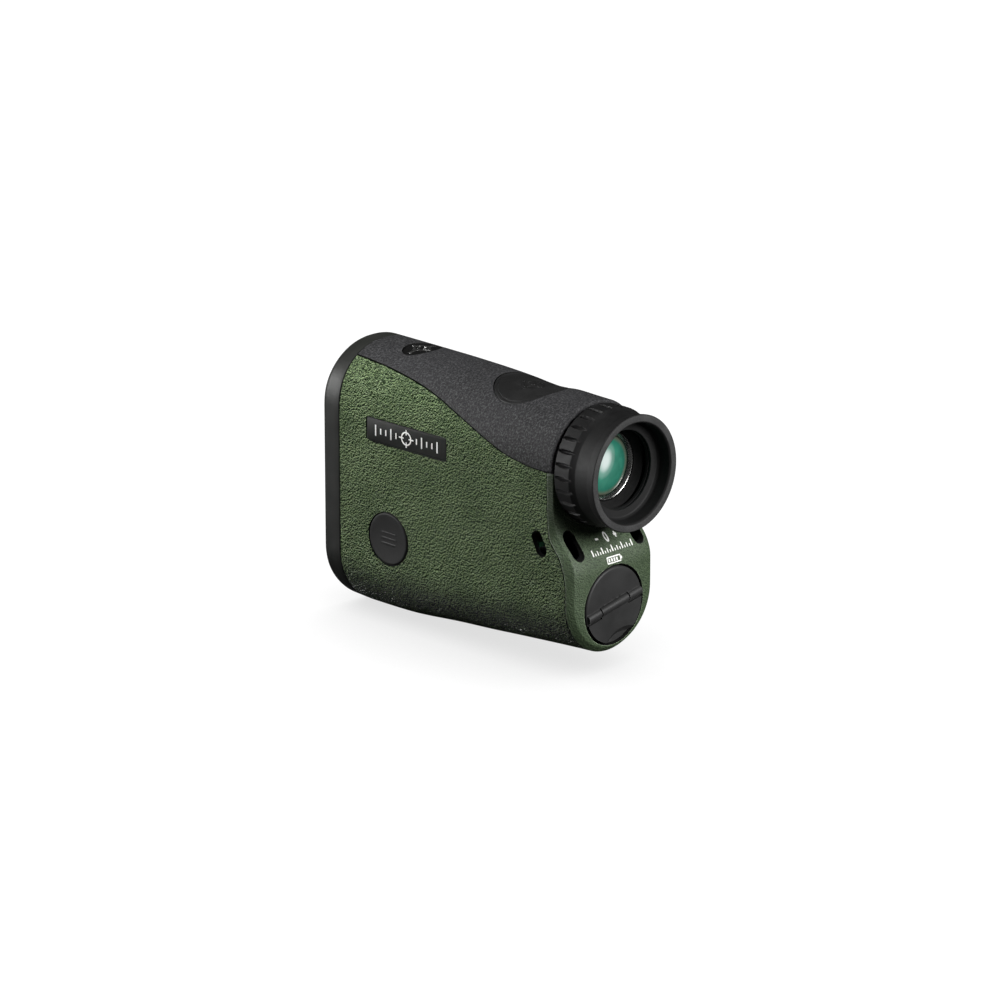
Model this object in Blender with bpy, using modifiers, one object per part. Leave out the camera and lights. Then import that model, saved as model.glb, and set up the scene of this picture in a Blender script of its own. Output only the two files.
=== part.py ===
"""Handheld laser rangefinder, vertical two-channel body, built as separate parts.

World frame: +Y is the way the instrument looks, the eyepiece is at -Y, +Z is up,
X is across with the left side at -X. The origin is under the middle of the body,
level with its lowest point. Lengths are millimetres, with Z counted from the
eyepiece axis; place() turns them into metres in the world frame.
"""

import math

import bmesh
import bpy
from mathutils import Matrix, Vector

for old in list(bpy.data.objects):
    bpy.data.objects.remove(old, do_unlink=True)

# ---------------------------------------------------------------- dimensions
MM = 0.001
EYE_AXIS_Z = 56.6            # height of the eyepiece axis over the lowest point
FRONT_Y = 51.0               # front face of the bezel
RIM_Y = -51.0                # rear rim of the eyecup
GAP = 0.3                    # clearance between neighbouring parts
HALF_GAP = GAP / 2

# body section: a tall slot shape, half width growing slightly to the front
HALF_WIDTH = 16.75
HALF_WIDTH_TAPER = 0.0175
DOME_POWER = 2.2             # superellipse power of the top
BELLY_POWER = 2.0            # superellipse power of the bottom
WALL = 1.8
REAR_WALL = 1.7

# top and bottom of the body: (y, z)
TOP_LINE = [
    (-51, 16.9), (-36.5, 16.9), (-30, 17.0), (-24.5, 17.15), (-20, 16.9), (-16, 16.8),
    (-12, 17.0), (-6, 17.4), (0, 17.75), (10, 18.1), (20, 18.3), (51, 18.5),
]
BOTTOM_LINE = [
    (-51, -50.9), (-40.7, -51.4), (-16.7, -53.1), (-4.5, -54.1), (7.9, -54.95),
    (14.1, -55.5), (20.4, -56.1), (26.7, -56.5), (34, -56.6), (40, -56.6), (51, -56.1),
]
# crease where the chamfer round the back meets the rear face: (z, y)
REAR_EDGE = [
    (-60, -43.13), (-27.5, -43.13), (-26, -42.95), (-24.4, -42.41), (-22.9, -41.68),
    (-21.8, -40.93), (-20.8, -40.04), (-19.7, -39.0), (-18.2, -37.85), (-16.3, -36.9),
    (-13.5, -36.4), (-10, -36.25), (-5, -36.2), (25, -36.2),
]
# how far the rear chamfer runs in: (z, inset)
EDGE_INSET = [(-60, 1.47), (-19, 1.47), (-10, 0.5), (25, 0.5)]
CROWN = 0.62                 # bulge of the rear face over its crease
# share of the bulge: (z, factor)
CROWN_FADE = [(-60, 1.0), (-26, 1.0), (-14, 0.0), (25, 0.0)]

# seams
BEZEL_SEAM_Y = 43.75
BEZEL_FILLET = 2.4
BEZEL_RIM = 3.6
SEAM_START_Z = 0.2           # rear end of the cover seam, top of the rear seam
# lower edge of the top cover: (y, z)
COVER_SEAM = [
    (-60, SEAM_START_Z), (-29.9, 0.3), (-24.2, 0.95), (-18.6, 2.1), (-12.6, 4.1), (-6.3, 6.5),
    (0.2, 8.8), (7.1, 11.0), (14.2, 12.7), (24.4, 14.2), (34.5, 15.1), (50, 15.7),
]
# front edge of the rear cover: (z, y)
REAR_SEAM = [
    (-70, -41.15), (-31, -41.15), (-29.2, -40.95), (-26.7, -40.45), (-25.4, -39.95),
    (-24.1, -39.5), (-23.1, -39.1), (-22.1, -38.4), (-21.1, -37.5), (-19.8, -36.45),
    (-18.4, -35.4), (-16.5, -34.9), (-13.1, -34.6), (-10, -34.5), (10, -34.4),
]

# optics
EYE_AXIS = (0, 0, 0)
OBJECTIVE_R = 10.8
RECEIVER_Z = -36.0
RECEIVER_AXIS = (0, 0, RECEIVER_Z)
RECEIVER_R = 8.0
OCULAR_R = 9.25

# ---------------------------------------------------------------- collections
parts = bpy.data.collections.new("laser_rangefinder")
cutters = bpy.data.collections.new("laser_rangefinder_cutters")
bpy.context.scene.collection.children.link(parts)
bpy.context.scene.collection.children.link(cutters)


# ---------------------------------------------------------------- materials
def material(name, color, roughness, metallic=0.0, alpha=1.0):
    made = bpy.data.materials.new(name)
    made.use_nodes = True
    shader = made.node_tree.nodes["Principled BSDF"]
    shader.inputs["Base Color"].default_value = (*color, 1.0)
    shader.inputs["Roughness"].default_value = roughness
    shader.inputs["Metallic"].default_value = metallic
    shader.inputs["Alpha"].default_value = alpha
    return made


GREEN = material("olive_grain", color=(0.045, 0.066, 0.030), roughness=0.5)
GREEN_FINE = material("olive_fine", color=(0.05, 0.066, 0.040), roughness=0.5)
COVER = material("cover_charcoal", color=(0.035, 0.035, 0.037), roughness=0.6)
BLACK = material("satin_black", color=(0.02, 0.02, 0.02), roughness=0.45)
RUBBER = material("black_rubber", color=(0.017, 0.017, 0.017), roughness=0.6)
BUTTON = material("button_grey", color=(0.028, 0.028, 0.03), roughness=0.5)
METAL = material("black_anodised", color=(0.03, 0.03, 0.03), roughness=0.35, metallic=0.8)
STEEL = material("steel", color=(0.6, 0.6, 0.6), roughness=0.3, metallic=1.0)
GLASS = material("coated_glass", color=(0.06, 0.32, 0.24), roughness=0.05, alpha=0.6)
CHASSIS = material("chassis_grey", color=(0.09, 0.09, 0.1), roughness=0.55)
BOARD = material("board_green", color=(0.02, 0.12, 0.05), roughness=0.5)
CELL = material("battery_wrap", color=(0.02, 0.05, 0.16), roughness=0.35)
AMBER = material("flex_amber", color=(0.35, 0.16, 0.03), roughness=0.4)


# ---------------------------------------------------------------- objects
def place(x, y, z):
    return Vector((x, y, z + EYE_AXIS_Z)) * MM


def add(name, mesh, origin, look=None, rotation=None):
    """Object from a mesh in millimetres around origin; a cutter when it has no look."""
    obj = bpy.data.objects.new(name, mesh)
    mesh.transform(Matrix.Scale(MM, 4))
    obj.location = place(*origin)
    if rotation is not None:
        obj.rotation_euler = rotation
    if look is None:
        cutters.objects.link(obj)
        obj.hide_render = True
        obj.display_type = "WIRE"
    else:
        parts.objects.link(obj)
        mesh.materials.append(look)
        mesh.shade_smooth()
        mesh.set_sharp_from_angle(angle=math.radians(35))
    return obj


def from_bmesh(name, shape, origin=(0, 0, 0), look=None, rotation=None):
    bmesh.ops.recalc_face_normals(shape, faces=shape.faces)
    mesh = bpy.data.meshes.new(name)
    shape.to_mesh(mesh)
    shape.free()
    return add(name, mesh, origin, look, rotation)


def boolean(obj, other, operation="DIFFERENCE"):
    step = obj.modifiers.new(operation.lower() + "_" + other.name, "BOOLEAN")
    step.operation = operation
    step.solver = "EXACT"
    step.object = other


# ---------------------------------------------------------------- curves by rule
def smooth_curve(points):
    """Monotone cubic through the points, level beyond both ends."""
    places = [point[0] for point in points]
    values = [point[1] for point in points]
    count = len(places)
    steps = [(values[i + 1] - values[i]) / (places[i + 1] - places[i]) for i in range(count - 1)]
    slopes = [0.0] * count
    for i in range(1, count - 1):
        if steps[i - 1] * steps[i] > 0:
            slopes[i] = 2 * steps[i - 1] * steps[i] / (steps[i - 1] + steps[i])

    def value(at):
        if at <= places[0]:
            return values[0]
        if at >= places[-1]:
            return values[-1]
        i = max(k for k in range(count - 1) if places[k] <= at)
        span = places[i + 1] - places[i]
        t = (at - places[i]) / span
        return ((1 + 2 * t) * (1 - t) ** 2 * values[i] + t * (1 - t) ** 2 * span * slopes[i]
                + t * t * (3 - 2 * t) * values[i + 1] + t * t * (t - 1) * span * slopes[i + 1])

    return value


def shifted(rule, offset):
    return lambda at: rule(at) + offset


def gap_factor(rule, at):
    """Length factor of a gap measured across a sloping line."""
    return math.hypot(1, (rule(at + 0.1) - rule(at - 0.1)) / 0.2)


top_line = smooth_curve(TOP_LINE)
bottom_line = smooth_curve(BOTTOM_LINE)
rear_edge = smooth_curve(REAR_EDGE)
edge_inset = smooth_curve(EDGE_INSET)
crown_fade = smooth_curve(CROWN_FADE)
cover_seam = smooth_curve(COVER_SEAM)
rear_seam = smooth_curve(REAR_SEAM)


# ---------------------------------------------------------------- body sections
def half_width(y):
    return HALF_WIDTH + HALF_WIDTH_TAPER * y


def half_section(y, inset, dome, side, belly):
    """Right half of the body section at y, from the top centre to the bottom centre.

    dome, side and belly count the segments of the top, the flank and the bottom.
    """
    full = half_width(y)
    width = full - inset
    z_top, z_low = top_line(y) - full, bottom_line(y) + full
    points = []
    for k in range(dome + 1):
        angle = math.pi / 2 * k / dome
        points.append((width * math.sin(angle) ** (2 / DOME_POWER),
                       z_top + width * math.cos(angle) ** (2 / DOME_POWER)))
    for k in range(1, side + 1):
        points.append((width, z_top + (z_low - z_top) * k / side))
    for k in range(1, belly + 1):
        angle = math.pi / 2 * k / belly
        points.append((width * math.cos(angle) ** (2 / BELLY_POWER),
                       z_low - width * math.sin(angle) ** (2 / BELLY_POWER)))
    points[0] = (0.0, points[0][1])
    points[-1] = (0.0, points[-1][1])
    return points


def crown(x, y, z, inset):
    """Height of the rear face over its crease."""
    width = half_width(y) - inset
    below = max(0.0, bottom_line(y) + half_width(y) - z)
    reach = ((abs(x) / width) ** BELLY_POWER + (below / width) ** BELLY_POWER) ** (1 / BELLY_POWER)
    return CROWN * crown_fade(z) * max(0.0, 1 - min(reach, 1.0) ** 6)


SETTLE_Z = -20.0             # height at which a station is first read
CROWN_COLUMNS = [0.93, 0.82, 0.62, 0.3, -0.3, -0.62, -0.82, -0.93]   # shares of the half width


def section_points(rule, inset, dome, side, belly):
    """Closed section whose place along Y may vary with height."""
    right = []
    rough = half_section(rule(SETTLE_Z), inset(SETTLE_Z), dome, side, belly)
    for k, (_, rough_z) in enumerate(rough):
        x, z = half_section(rule(rough_z), inset(rough_z), dome, side, belly)[k]
        right.append((x, rule(z), z))
    return right + [(-x, y, z) for x, y, z in reversed(right[1:-1])]


def close_end(shape, ring, crown_inset=None):
    """Cap a ring with rows across it, bulged when crown_inset gives the inset by height."""
    count = len(ring)
    rows = []
    for k in range(count // 2 + 1):
        right, left = ring[k], ring[(count - k) % count]
        row = [right, left] if right is not left else [right]
        if crown_inset and right is not left:
            x, y, z = right.co
            inset = crown_inset(z)
            spots = [(x * c, y - crown(x * c, y, z, inset), z) for c in CROWN_COLUMNS]
            row = [right] + [shape.verts.new(spot) for spot in spots] + [left]
        rows.append(row)
    for upper, lower in zip(rows, rows[1:]):
        steps = max(len(upper), len(lower)) - 1
        # a row on the middle line is a single vertex, repeated to match its neighbour
        upper = upper if len(upper) > 1 else upper * (steps + 1)
        lower = lower if len(lower) > 1 else lower * (steps + 1)
        for c in range(steps):
            corners = (upper[c], lower[c], lower[c + 1], upper[c + 1])
            shape.faces.new(list(dict.fromkeys(corners)))


def body_loft(name, stations, dome, side, belly, look=None, crowned=False):
    """Closed loft of body sections. A station is (y, inset), each a number or a function of z."""
    rules = [[item if callable(item) else (lambda z, fixed=item: fixed) for item in station]
             for station in stations]
    shape = bmesh.new()
    rings = [[shape.verts.new(point) for point in section_points(rule, inset, dome, side, belly)]
             for rule, inset in rules]
    count = len(rings[0])
    for near, far in zip(rings, rings[1:]):
        for k in range(count):
            following = (k + 1) % count
            shape.faces.new((near[k], near[following], far[following], far[k]))
    close_end(shape, rings[0])
    close_end(shape, rings[-1], rules[-1][1] if crowned else None)
    return from_bmesh(name, shape, look=look)


def inset_by(inset, *places):
    """Stations at the given places, all with one inset."""
    return [(y, inset) for y in places]


# ---------------------------------------------------------------- simple solids
TURN = {
    "X": Matrix.Rotation(math.pi / 2, 4, "Y"),
    "Y": Matrix.Rotation(-math.pi / 2, 4, "X"),
    "Z": Matrix.Identity(4),
}
SPIN_ROTATION = {"Y": (-math.pi / 2, 0, 0), "-X": (0, -math.pi / 2, 0), "Z": None}
# where an outline's pair and its height along the axis go
SPOTS = {
    "X": lambda first, second, height: (height, first, second),
    "Y": lambda first, second, height: (first, height, second),
    "Z": lambda first, second, height: (first, second, height),
}


def extruded(name, outline, low, high, axis="X", look=None, origin=(0, 0, 0), rotation=None):
    """Flat outline pushed along an axis. The outline's pairs are (y, z), (x, z) or (x, y)."""
    spot = SPOTS[axis]
    shape = bmesh.new()
    face = shape.faces.new([shape.verts.new(spot(*pair, low)) for pair in outline])
    moved = bmesh.ops.extrude_face_region(shape, geom=[face])["geom"]
    shift = Vector(spot(0, 0, high)) - Vector(spot(0, 0, low))
    bmesh.ops.translate(shape, vec=shift,
                        verts=[item for item in moved if isinstance(item, bmesh.types.BMVert)])
    return from_bmesh(name, shape, origin, look, rotation)


def cylinder(name, axis, centre, radius, length, segments, look=None, rotation=None):
    shape = bmesh.new()
    bmesh.ops.create_cone(shape, cap_ends=True, segments=segments, radius1=radius,
                          radius2=radius, depth=length, matrix=TURN[axis])
    return from_bmesh(name, shape, centre, look, rotation)


def block(name, centre, size, look=None, round_by=0.0, rotation=None, round_segments=1):
    shape = bmesh.new()
    bmesh.ops.create_cube(shape, size=1.0, matrix=Matrix.Diagonal((*size, 1.0)))
    obj = from_bmesh(name, shape, centre, look, rotation)
    if round_by:
        bevel = obj.modifiers.new("rounded", "BEVEL")
        bevel.width = round_by * MM
        bevel.segments = round_segments
    return obj


def turned(name, profile, centre, segments, look, axis="Y"):
    """Body of revolution from pairs of (radius, place along the axis).

    A profile that starts at radius 0 closes on the axis; any other is a closed loop.
    """
    mesh = bpy.data.meshes.new(name)
    edges = [(i, i + 1) for i in range(len(profile) - 1)]
    if profile[0][0] > 0:
        edges.append((len(profile) - 1, 0))
    mesh.from_pydata([(radius, 0.0, along) for radius, along in profile], edges, [])
    obj = add(name, mesh, centre, look, SPIN_ROTATION[axis])
    spin = obj.modifiers.new("turned", "SCREW")
    spin.axis = "Z"
    spin.angle = 2 * math.pi
    spin.steps = segments
    spin.render_steps = segments
    spin.use_merge_vertices = True
    spin.merge_threshold = 0.000001
    spin.use_smooth_shade = True
    return obj


def oring(name, major, minor, centre):
    """Rubber ring round Y; major is the radius to the middle of its section."""
    sides = 6
    angles = [-2 * math.pi * k / sides for k in range(sides)]
    profile = [(major + minor * math.cos(angle), minor * math.sin(angle)) for angle in angles]
    return turned(name, profile, centre, 28, RUBBER)


def lens(name, radius, low, high, sag_low, sag_high, centre=EYE_AXIS, segments=30):
    """Round lens with both faces bulging out by their sag."""
    rows = 3
    radii = [radius * k / rows for k in range(1, rows + 1)]
    profile = [(0.0, high + sag_high)]
    profile += [(r, high + sag_high * (1 - (r / radius) ** 2)) for r in radii]
    profile += [(r, low - sag_low * (1 - (r / radius) ** 2)) for r in reversed(radii)]
    profile.append((0.0, low - sag_low))
    return turned(name, profile, centre, segments, GLASS)


def screw(name, x, y, z, head_up=False, head=1.6):
    """Small pan-head screw, head radius as given, with its head's underside at z."""
    up = 1 if head_up else -1
    profile = [(0, 1.0), (head - 0.4, 1.0), (head, 0.6), (head, 0.0),
               (0.85, 0.0), (0.85, -3.2), (0, -3.2)]
    profile = [(radius, up * along) for radius, along in profile]
    if not head_up:
        profile.reverse()
    obj = turned(name, profile, (x, y, z), 10, STEEL, "Z")
    boolean(obj, block(f"{name}_slot_35", (x, y, z + up * 0.9), (1.3 * head, 0.4, 0.9),
                       rotation=(0, 0, math.radians(35))))


# ---------------------------------------------------------------- housing shells
def chamfer_station(t):
    """Section on the rear chamfer: t runs from 0 at the seam to 1 at the crease."""
    return (lambda z: rear_seam(z) + (rear_edge(z) - rear_seam(z)) * t,
            lambda z: edge_inset(z) * t ** 1.1)


outer_stations = inset_by(0.0, 46, 38, 31, 22, 13, 4, -4, -10, -15, -20, -25, -30)
outer_stations += [chamfer_station(t) for t in (0.0, 0.35, 0.7, 1.0)]
hollow = body_loft("body_hollow", inset_by(WALL, 60, 16, 0, -12, -24, shifted(rear_edge, REAR_WALL)),
                   dome=6, side=9, belly=5)


def housing(name, look, region_outline):
    """Part of the hollow body that lies inside an outline seen from the side."""
    region = extruded(name.split("_")[0] + "_region", region_outline, -30, 30)
    obj = body_loft(name, outer_stations, dome=12, side=16, belly=9, look=look, crowned=True)
    boolean(obj, region, "INTERSECT")
    boolean(obj, hollow)
    return obj


def along_cover_seam(y, side):
    """Point half a gap above (side 1) or below (side -1) the cover seam."""
    return y, cover_seam(y) + side * HALF_GAP * gap_factor(cover_seam, y)


def along_rear_seam(z, side):
    """Point half a gap in front of (side 1) or behind (side -1) the rear seam."""
    return rear_seam(z) + side * HALF_GAP * gap_factor(rear_seam, z), z


shell_front_y = BEZEL_SEAM_Y - HALF_GAP
cover_seam_ys = [shell_front_y - i * (shell_front_y + 34.35) / 20 for i in range(20)]
rear_seam_zs = [SEAM_START_Z - HALF_GAP - i * 1.9 for i in range(17)] + [-70]

green_shell = housing("green_shell", GREEN, [(shell_front_y, -70)]
                      + [along_cover_seam(y, -1) for y in cover_seam_ys]
                      + [along_rear_seam(z, 1) for z in rear_seam_zs])
top_cover = housing("top_cover", COVER, [(-60, 40), (-60, SEAM_START_Z + HALF_GAP),
                                         (-34.5, SEAM_START_Z + HALF_GAP)]
                    + [along_cover_seam(y, 1) for y in reversed(cover_seam_ys)]
                    + [(shell_front_y, 40)])
rear_cover = housing("rear_cover", GREEN_FINE, [(-60, -70), (-60, SEAM_START_Z - HALF_GAP)]
                     + [along_rear_seam(z, -1) for z in rear_seam_zs])

eyepiece_relief = cylinder("eyepiece_relief", "Y", (0, -46.2, 0), 16.75, 20, 56)
eyepiece_hole = cylinder("eyepiece_hole", "Y", (0, -36, 0), 13.2, 12, 48)
for shell in (top_cover, rear_cover):
    boolean(shell, eyepiece_relief)
    boolean(shell, eyepiece_hole)

# ---------------------------------------------------------------- lanyard slots
# one leaning slot in each side and one upright slot in each rear corner
SLOT_Y, SLOT_Z, SLOT_LONG, SLOT_WIDE = -31.65, -20.1, 7.4, 4.1
SLOT_LEAN = math.radians(27)
REAR_SLOT_X, REAR_SLOT_Z, REAR_SLOT_LONG, REAR_SLOT_WIDE = 11.35, -20.05, 7.2, 3.95

for tag, side in (("left", -1), ("right", 1)):
    boolean(green_shell, block(f"side_slot_{tag}", (side * 16, SLOT_Y, SLOT_Z),
                               (6, SLOT_WIDE, SLOT_LONG), rotation=(-SLOT_LEAN, 0, 0),
                               round_by=1.9, round_segments=4))
    boolean(rear_cover, block(f"rear_slot_{tag}", (side * REAR_SLOT_X, -41, REAR_SLOT_Z),
                              (REAR_SLOT_WIDE, 16, REAR_SLOT_LONG),
                              round_by=1.85, round_segments=4))
    cylinder(f"lanyard_pin_{tag}", "Z", (side * 12.9, -32.5, -20), 1.1, 12, 16, METAL)

# ---------------------------------------------------------------- front bezel and its plate
# front face of the bezel: (z, y)
bezel_front = smooth_curve([(-57, FRONT_Y - 0.9), (-44, FRONT_Y), (4, FRONT_Y), (19, FRONT_Y - 0.9)])
bezel_stations = []
for degrees in (90, 60, 30, 0):
    angle = math.radians(degrees)
    bezel_stations.append((shifted(bezel_front, -BEZEL_FILLET * (1 - math.sin(angle))),
                           BEZEL_FILLET * (1 - math.cos(angle))))
bezel_stations.append((BEZEL_SEAM_Y + HALF_GAP, 0.0))
front_bezel = body_loft("front_bezel", bezel_stations, dome=12, side=3, belly=9, look=BLACK)
boolean(front_bezel, body_loft("bezel_opening", inset_by(BEZEL_RIM, 60, 40),
                               dome=10, side=1, belly=8))
front_plate = body_loft("front_plate", inset_by(BEZEL_RIM + GAP, 49.0, 47.9),
                        dome=8, side=1, belly=7, look=BLACK)
boolean(front_plate, cylinder("objective_opening", "Y", (0, 48, 0), 11.4, 8, 40))
boolean(front_plate, cylinder("receiver_opening", "Y", (0, 48, RECEIVER_Z), 8.8, 8, 36))

# ---------------------------------------------------------------- name plate and badge
# blank name plate let into the left side
PLATE_Y, PLATE_Z = 18.05, -1.62
PLATE_LONG, PLATE_HIGH = 30.1, 6.4
plate_turn = (0, 0, -math.atan(HALF_WIDTH_TAPER))
plate_x = -half_width(PLATE_Y)
boolean(green_shell, block("side_plate_seat", (plate_x, PLATE_Y, PLATE_Z),
                           (1.3, PLATE_LONG + 2 * GAP, PLATE_HIGH + 2 * GAP), rotation=plate_turn))
block("side_plate", (plate_x + 0.1, PLATE_Y, PLATE_Z), (0.4, PLATE_LONG, PLATE_HIGH),
      look=BLACK, rotation=plate_turn)

# oval badge let into the top; its two radii run along X and Y
BADGE_Y, BADGE_LONG, BADGE_SHORT = 29.3, 6.0, 4.4


def badge_oval(grow):
    steps = 32
    angles = [2 * math.pi * k / steps for k in range(steps)]
    return [((BADGE_LONG + grow) * math.cos(angle),
             BADGE_Y + (BADGE_SHORT + grow) * math.sin(angle)) for angle in angles]


boolean(top_cover, extruded("badge_seat", badge_oval(GAP), 17.0, 23.0, "Z"))
badge = body_loft("top_badge", inset_by(-0.12, 40, 29.5, 20), dome=14, side=1, belly=4, look=BLACK)
boolean(badge, extruded("badge_disc", badge_oval(0.0), 17.3, 23.3, "Z"), "INTERSECT")

# ---------------------------------------------------------------- measure button, on the top
MEASURE_Y = -13.3
MEASURE_R = 10.4
SKIN_YS = [6, -2, -8, -13.7, -18, -22, -28, -33]   # stations of the skin the button follows

boolean(top_cover, cylinder("measure_hole", "Z", (0, MEASURE_Y, 14), MEASURE_R + GAP, 16, 40))
measure_button = body_loft("measure_button", inset_by(0.0, *SKIN_YS),
                           dome=12, side=1, belly=4, look=BUTTON)
boolean(measure_button, cylinder("measure_disc", "Z", (0, MEASURE_Y, 16), MEASURE_R, 14, 40),
        "INTERSECT")
boolean(measure_button, body_loft("measure_underside", inset_by(2.0, 10, 0, -8, -14, -22, -36),
                                  dome=10, side=1, belly=4))
boolean(measure_button, cylinder("measure_plunger", "Z", (0, MEASURE_Y, 14.25), 2.0, 2.5, 20),
        "UNION")
measure_seal = body_loft("measure_button_seal", inset_by(2.3, *SKIN_YS[::2]),
                         dome=8, side=1, belly=3, look=RUBBER)
boolean(measure_seal, cylinder("measure_seal_disc", "Z", (0, MEASURE_Y, 16), 11.6, 16, 28),
        "INTERSECT")
boolean(measure_seal, body_loft("measure_seal_underside", inset_by(3.0, 10, -8, -18, -36),
                                dome=8, side=1, belly=4))
boolean(measure_seal, cylinder("measure_seal_eye", "Z", (0, MEASURE_Y, 14), 2.3, 8, 20))
measure_switch = block("measure_switch", (0, MEASURE_Y, 10.0), (6.0, 6.0, 3.4), BLACK, 0.3)
boolean(measure_switch, cylinder("measure_switch_nib", "Z", (0, MEASURE_Y, 11.6), 1.6, 1.0, 16),
        "UNION")

# ---------------------------------------------------------------- menu button, on the left side
MENU_Y, MENU_Z = 25.04, -31.53
MENU_R = 7.34
MENU_STEM_R = 1.8
menu_seat = (-17.16, MENU_Y, MENU_Z)

boolean(green_shell, cylinder("menu_hole", "X", (-17, MENU_Y, MENU_Z), MENU_R + GAP, 8, 40))
turned("menu_button", [(0, 0.30), (3.5, 0.24), (6.2, 0.08), (MENU_R, -0.3), (MENU_R, -2.2),
                       (MENU_STEM_R, -2.2), (MENU_STEM_R, -3.5), (0, -3.5)],
       menu_seat, 32, BUTTON, "-X")
turned("menu_button_seal", [(8.6, -2.55), (8.6, -3.1), (2.1, -3.1), (2.1, -2.55)],
       menu_seat, 24, RUBBER, "-X")
menu_switch = block("menu_switch", (-11.4, MENU_Y, MENU_Z), (2.0, 4.6, 4.6), BLACK, 0.3)
boolean(menu_switch, cylinder("menu_switch_nib", "X", (-12.5, MENU_Y, MENU_Z), 1.3, 0.8, 16),
        "UNION")

# ---------------------------------------------------------------- front optics
turned("objective_cell", [(12.4, 47.5), (12.4, 21.4), (9.9, 21.4), (9.9, 42.9), (11.1, 42.9),
                          (11.1, 47.5)], EYE_AXIS, 32, METAL)
lens("objective_lens", OBJECTIVE_R, low=43.2, high=45.7, sag_low=0.3, sag_high=1.3)
turned("objective_retainer", [(OBJECTIVE_R, 47.2), (OBJECTIVE_R, 46.2), (10.1, 46.2), (9.8, 47.2)],
       EYE_AXIS, 28, METAL)
turned("receiver_cell", [(9.3, 47.5), (9.3, 17.0), (7.0, 17.0), (7.0, 43.4), (8.3, 43.4),
                         (8.3, 47.5)], RECEIVER_AXIS, 28, METAL)
lens("receiver_lens", RECEIVER_R, low=43.7, high=45.7, sag_low=0.2, sag_high=1.0,
     centre=RECEIVER_AXIS, segments=24)
turned("receiver_retainer", [(RECEIVER_R, 47.2), (RECEIVER_R, 46.2), (7.4, 46.2), (7.1, 47.2)],
       RECEIVER_AXIS, 24, METAL)
photodiode = block("photodiode_module", (0, 14.6, RECEIVER_Z), (15, 1.2, 14), BOARD)
boolean(photodiode, cylinder("photodiode_can", "Y", (0, 15.6, RECEIVER_Z), 4.2, 2.0, 20), "UNION")

# ---------------------------------------------------------------- optical chassis
CHASSIS_Y = 0.5
LEG_SPOTS = ((-9.5, -13), (9.5, -13), (-9.5, 16), (9.5, 16))   # (x, y), shared with the board
SCREW_BORE_R = 1.15
FLEX_Y = -16.7               # upright part of the display's flex strip

chassis = block("optical_chassis", (0, CHASSIS_Y, -2.4), (26.0, 41.0, 14.4), CHASSIS)
boolean(chassis, block("chassis_room", (0, CHASSIS_Y, 2.8), (23.0, 37.8, 22.0)))
boolean(chassis, cylinder("chassis_bore", "Y", (0, CHASSIS_Y, 0), 7.9, 60, 36))
for i, (x, y) in enumerate(LEG_SPOTS, 1):
    boolean(chassis, cylinder(f"chassis_leg_{i}", "Z", (x, y, -15.4), 1.9, 12.6, 12), "UNION")
    boolean(chassis, cylinder(f"chassis_leg_bore_{i}", "Z", (x, y, -20.2), SCREW_BORE_R, 5.0, 12))
boolean(chassis, block("flex_slot", (0, FLEX_Y, -9), (9.6, 1.6, 6)))

# ---------------------------------------------------------------- prism and its clamp
prism = extruded("roof_prism", [(-8.5, -7.8), (8.5, -7.8), (8.5, 2.5), (3.5, 7.5), (-8.5, 7.5)],
                 -7, 7, look=GLASS)
chamfer = prism.modifiers.new("ground_edges", "BEVEL")
chamfer.width = 0.4 * MM
chamfer.segments = 1

# bent strip over the prism with a foot each side: (x, z)
CLAMP_OUTLINE = [
    (-11.2, -7.9), (-11.2, -7.2), (-8.1, -7.2), (-8.1, 8.6), (8.1, 8.6), (8.1, -7.2),
    (11.2, -7.2), (11.2, -7.9), (7.4, -7.9), (7.4, 7.9), (-7.4, 7.9), (-7.4, -7.9),
]
CLAMP_REAR_Y, CLAMP_FRONT_Y = -6.5, -2.0
clamp_y = (CLAMP_REAR_Y + CLAMP_FRONT_Y) / 2
clamp = extruded("prism_clamp", CLAMP_OUTLINE, CLAMP_REAR_Y, CLAMP_FRONT_Y, "Y", STEEL)
for i, x in enumerate((-9.8, 9.8), 1):
    boolean(clamp, cylinder(f"clamp_eye_{i}", "Z", (x, clamp_y, -7.5), 1.1, 4, 12))
    boolean(chassis, cylinder(f"clamp_thread_{i}", "Z", (x, clamp_y, -9), 1.1, 6, 12))
    screw(f"clamp_screw_{i}", x, clamp_y, -6.9, head_up=True, head=1.3)

# ---------------------------------------------------------------- display
DISPLAY_CENTRE = (0, -14.4, 0)
FLEX_HALF = 0.12             # half thickness of the flex strip
FLEX_TOP_Z, FLEX_BEND_Z = 4.0, -18.8

frame = block("display_frame", DISPLAY_CENTRE, (18.0, 2.2, 15.4), BLACK)
boolean(frame, block("display_window", DISPLAY_CENTRE, (14.4, 6, 12.0)))
block("display_panel", DISPLAY_CENTRE, (13.8, 1.1, 11.4), GLASS)
# strip running down and bending forward to the board: (y, z)
flex_outline = [
    (FLEX_Y - FLEX_HALF, FLEX_TOP_Z), (FLEX_Y - FLEX_HALF, FLEX_BEND_Z),
    (-16.32, -20.5), (-14.85, -21.53), (-12.5, -21.82),
    (-12.5, -21.58), (-14.75, -21.27), (-16.08, -20.3),
    (FLEX_Y + FLEX_HALF, FLEX_BEND_Z), (FLEX_Y + FLEX_HALF, FLEX_TOP_Z),
]
extruded("display_flex", flex_outline, -4.0, 4.0, look=AMBER)

# ---------------------------------------------------------------- laser and main board
BOARD_Z = -22.6

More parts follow.
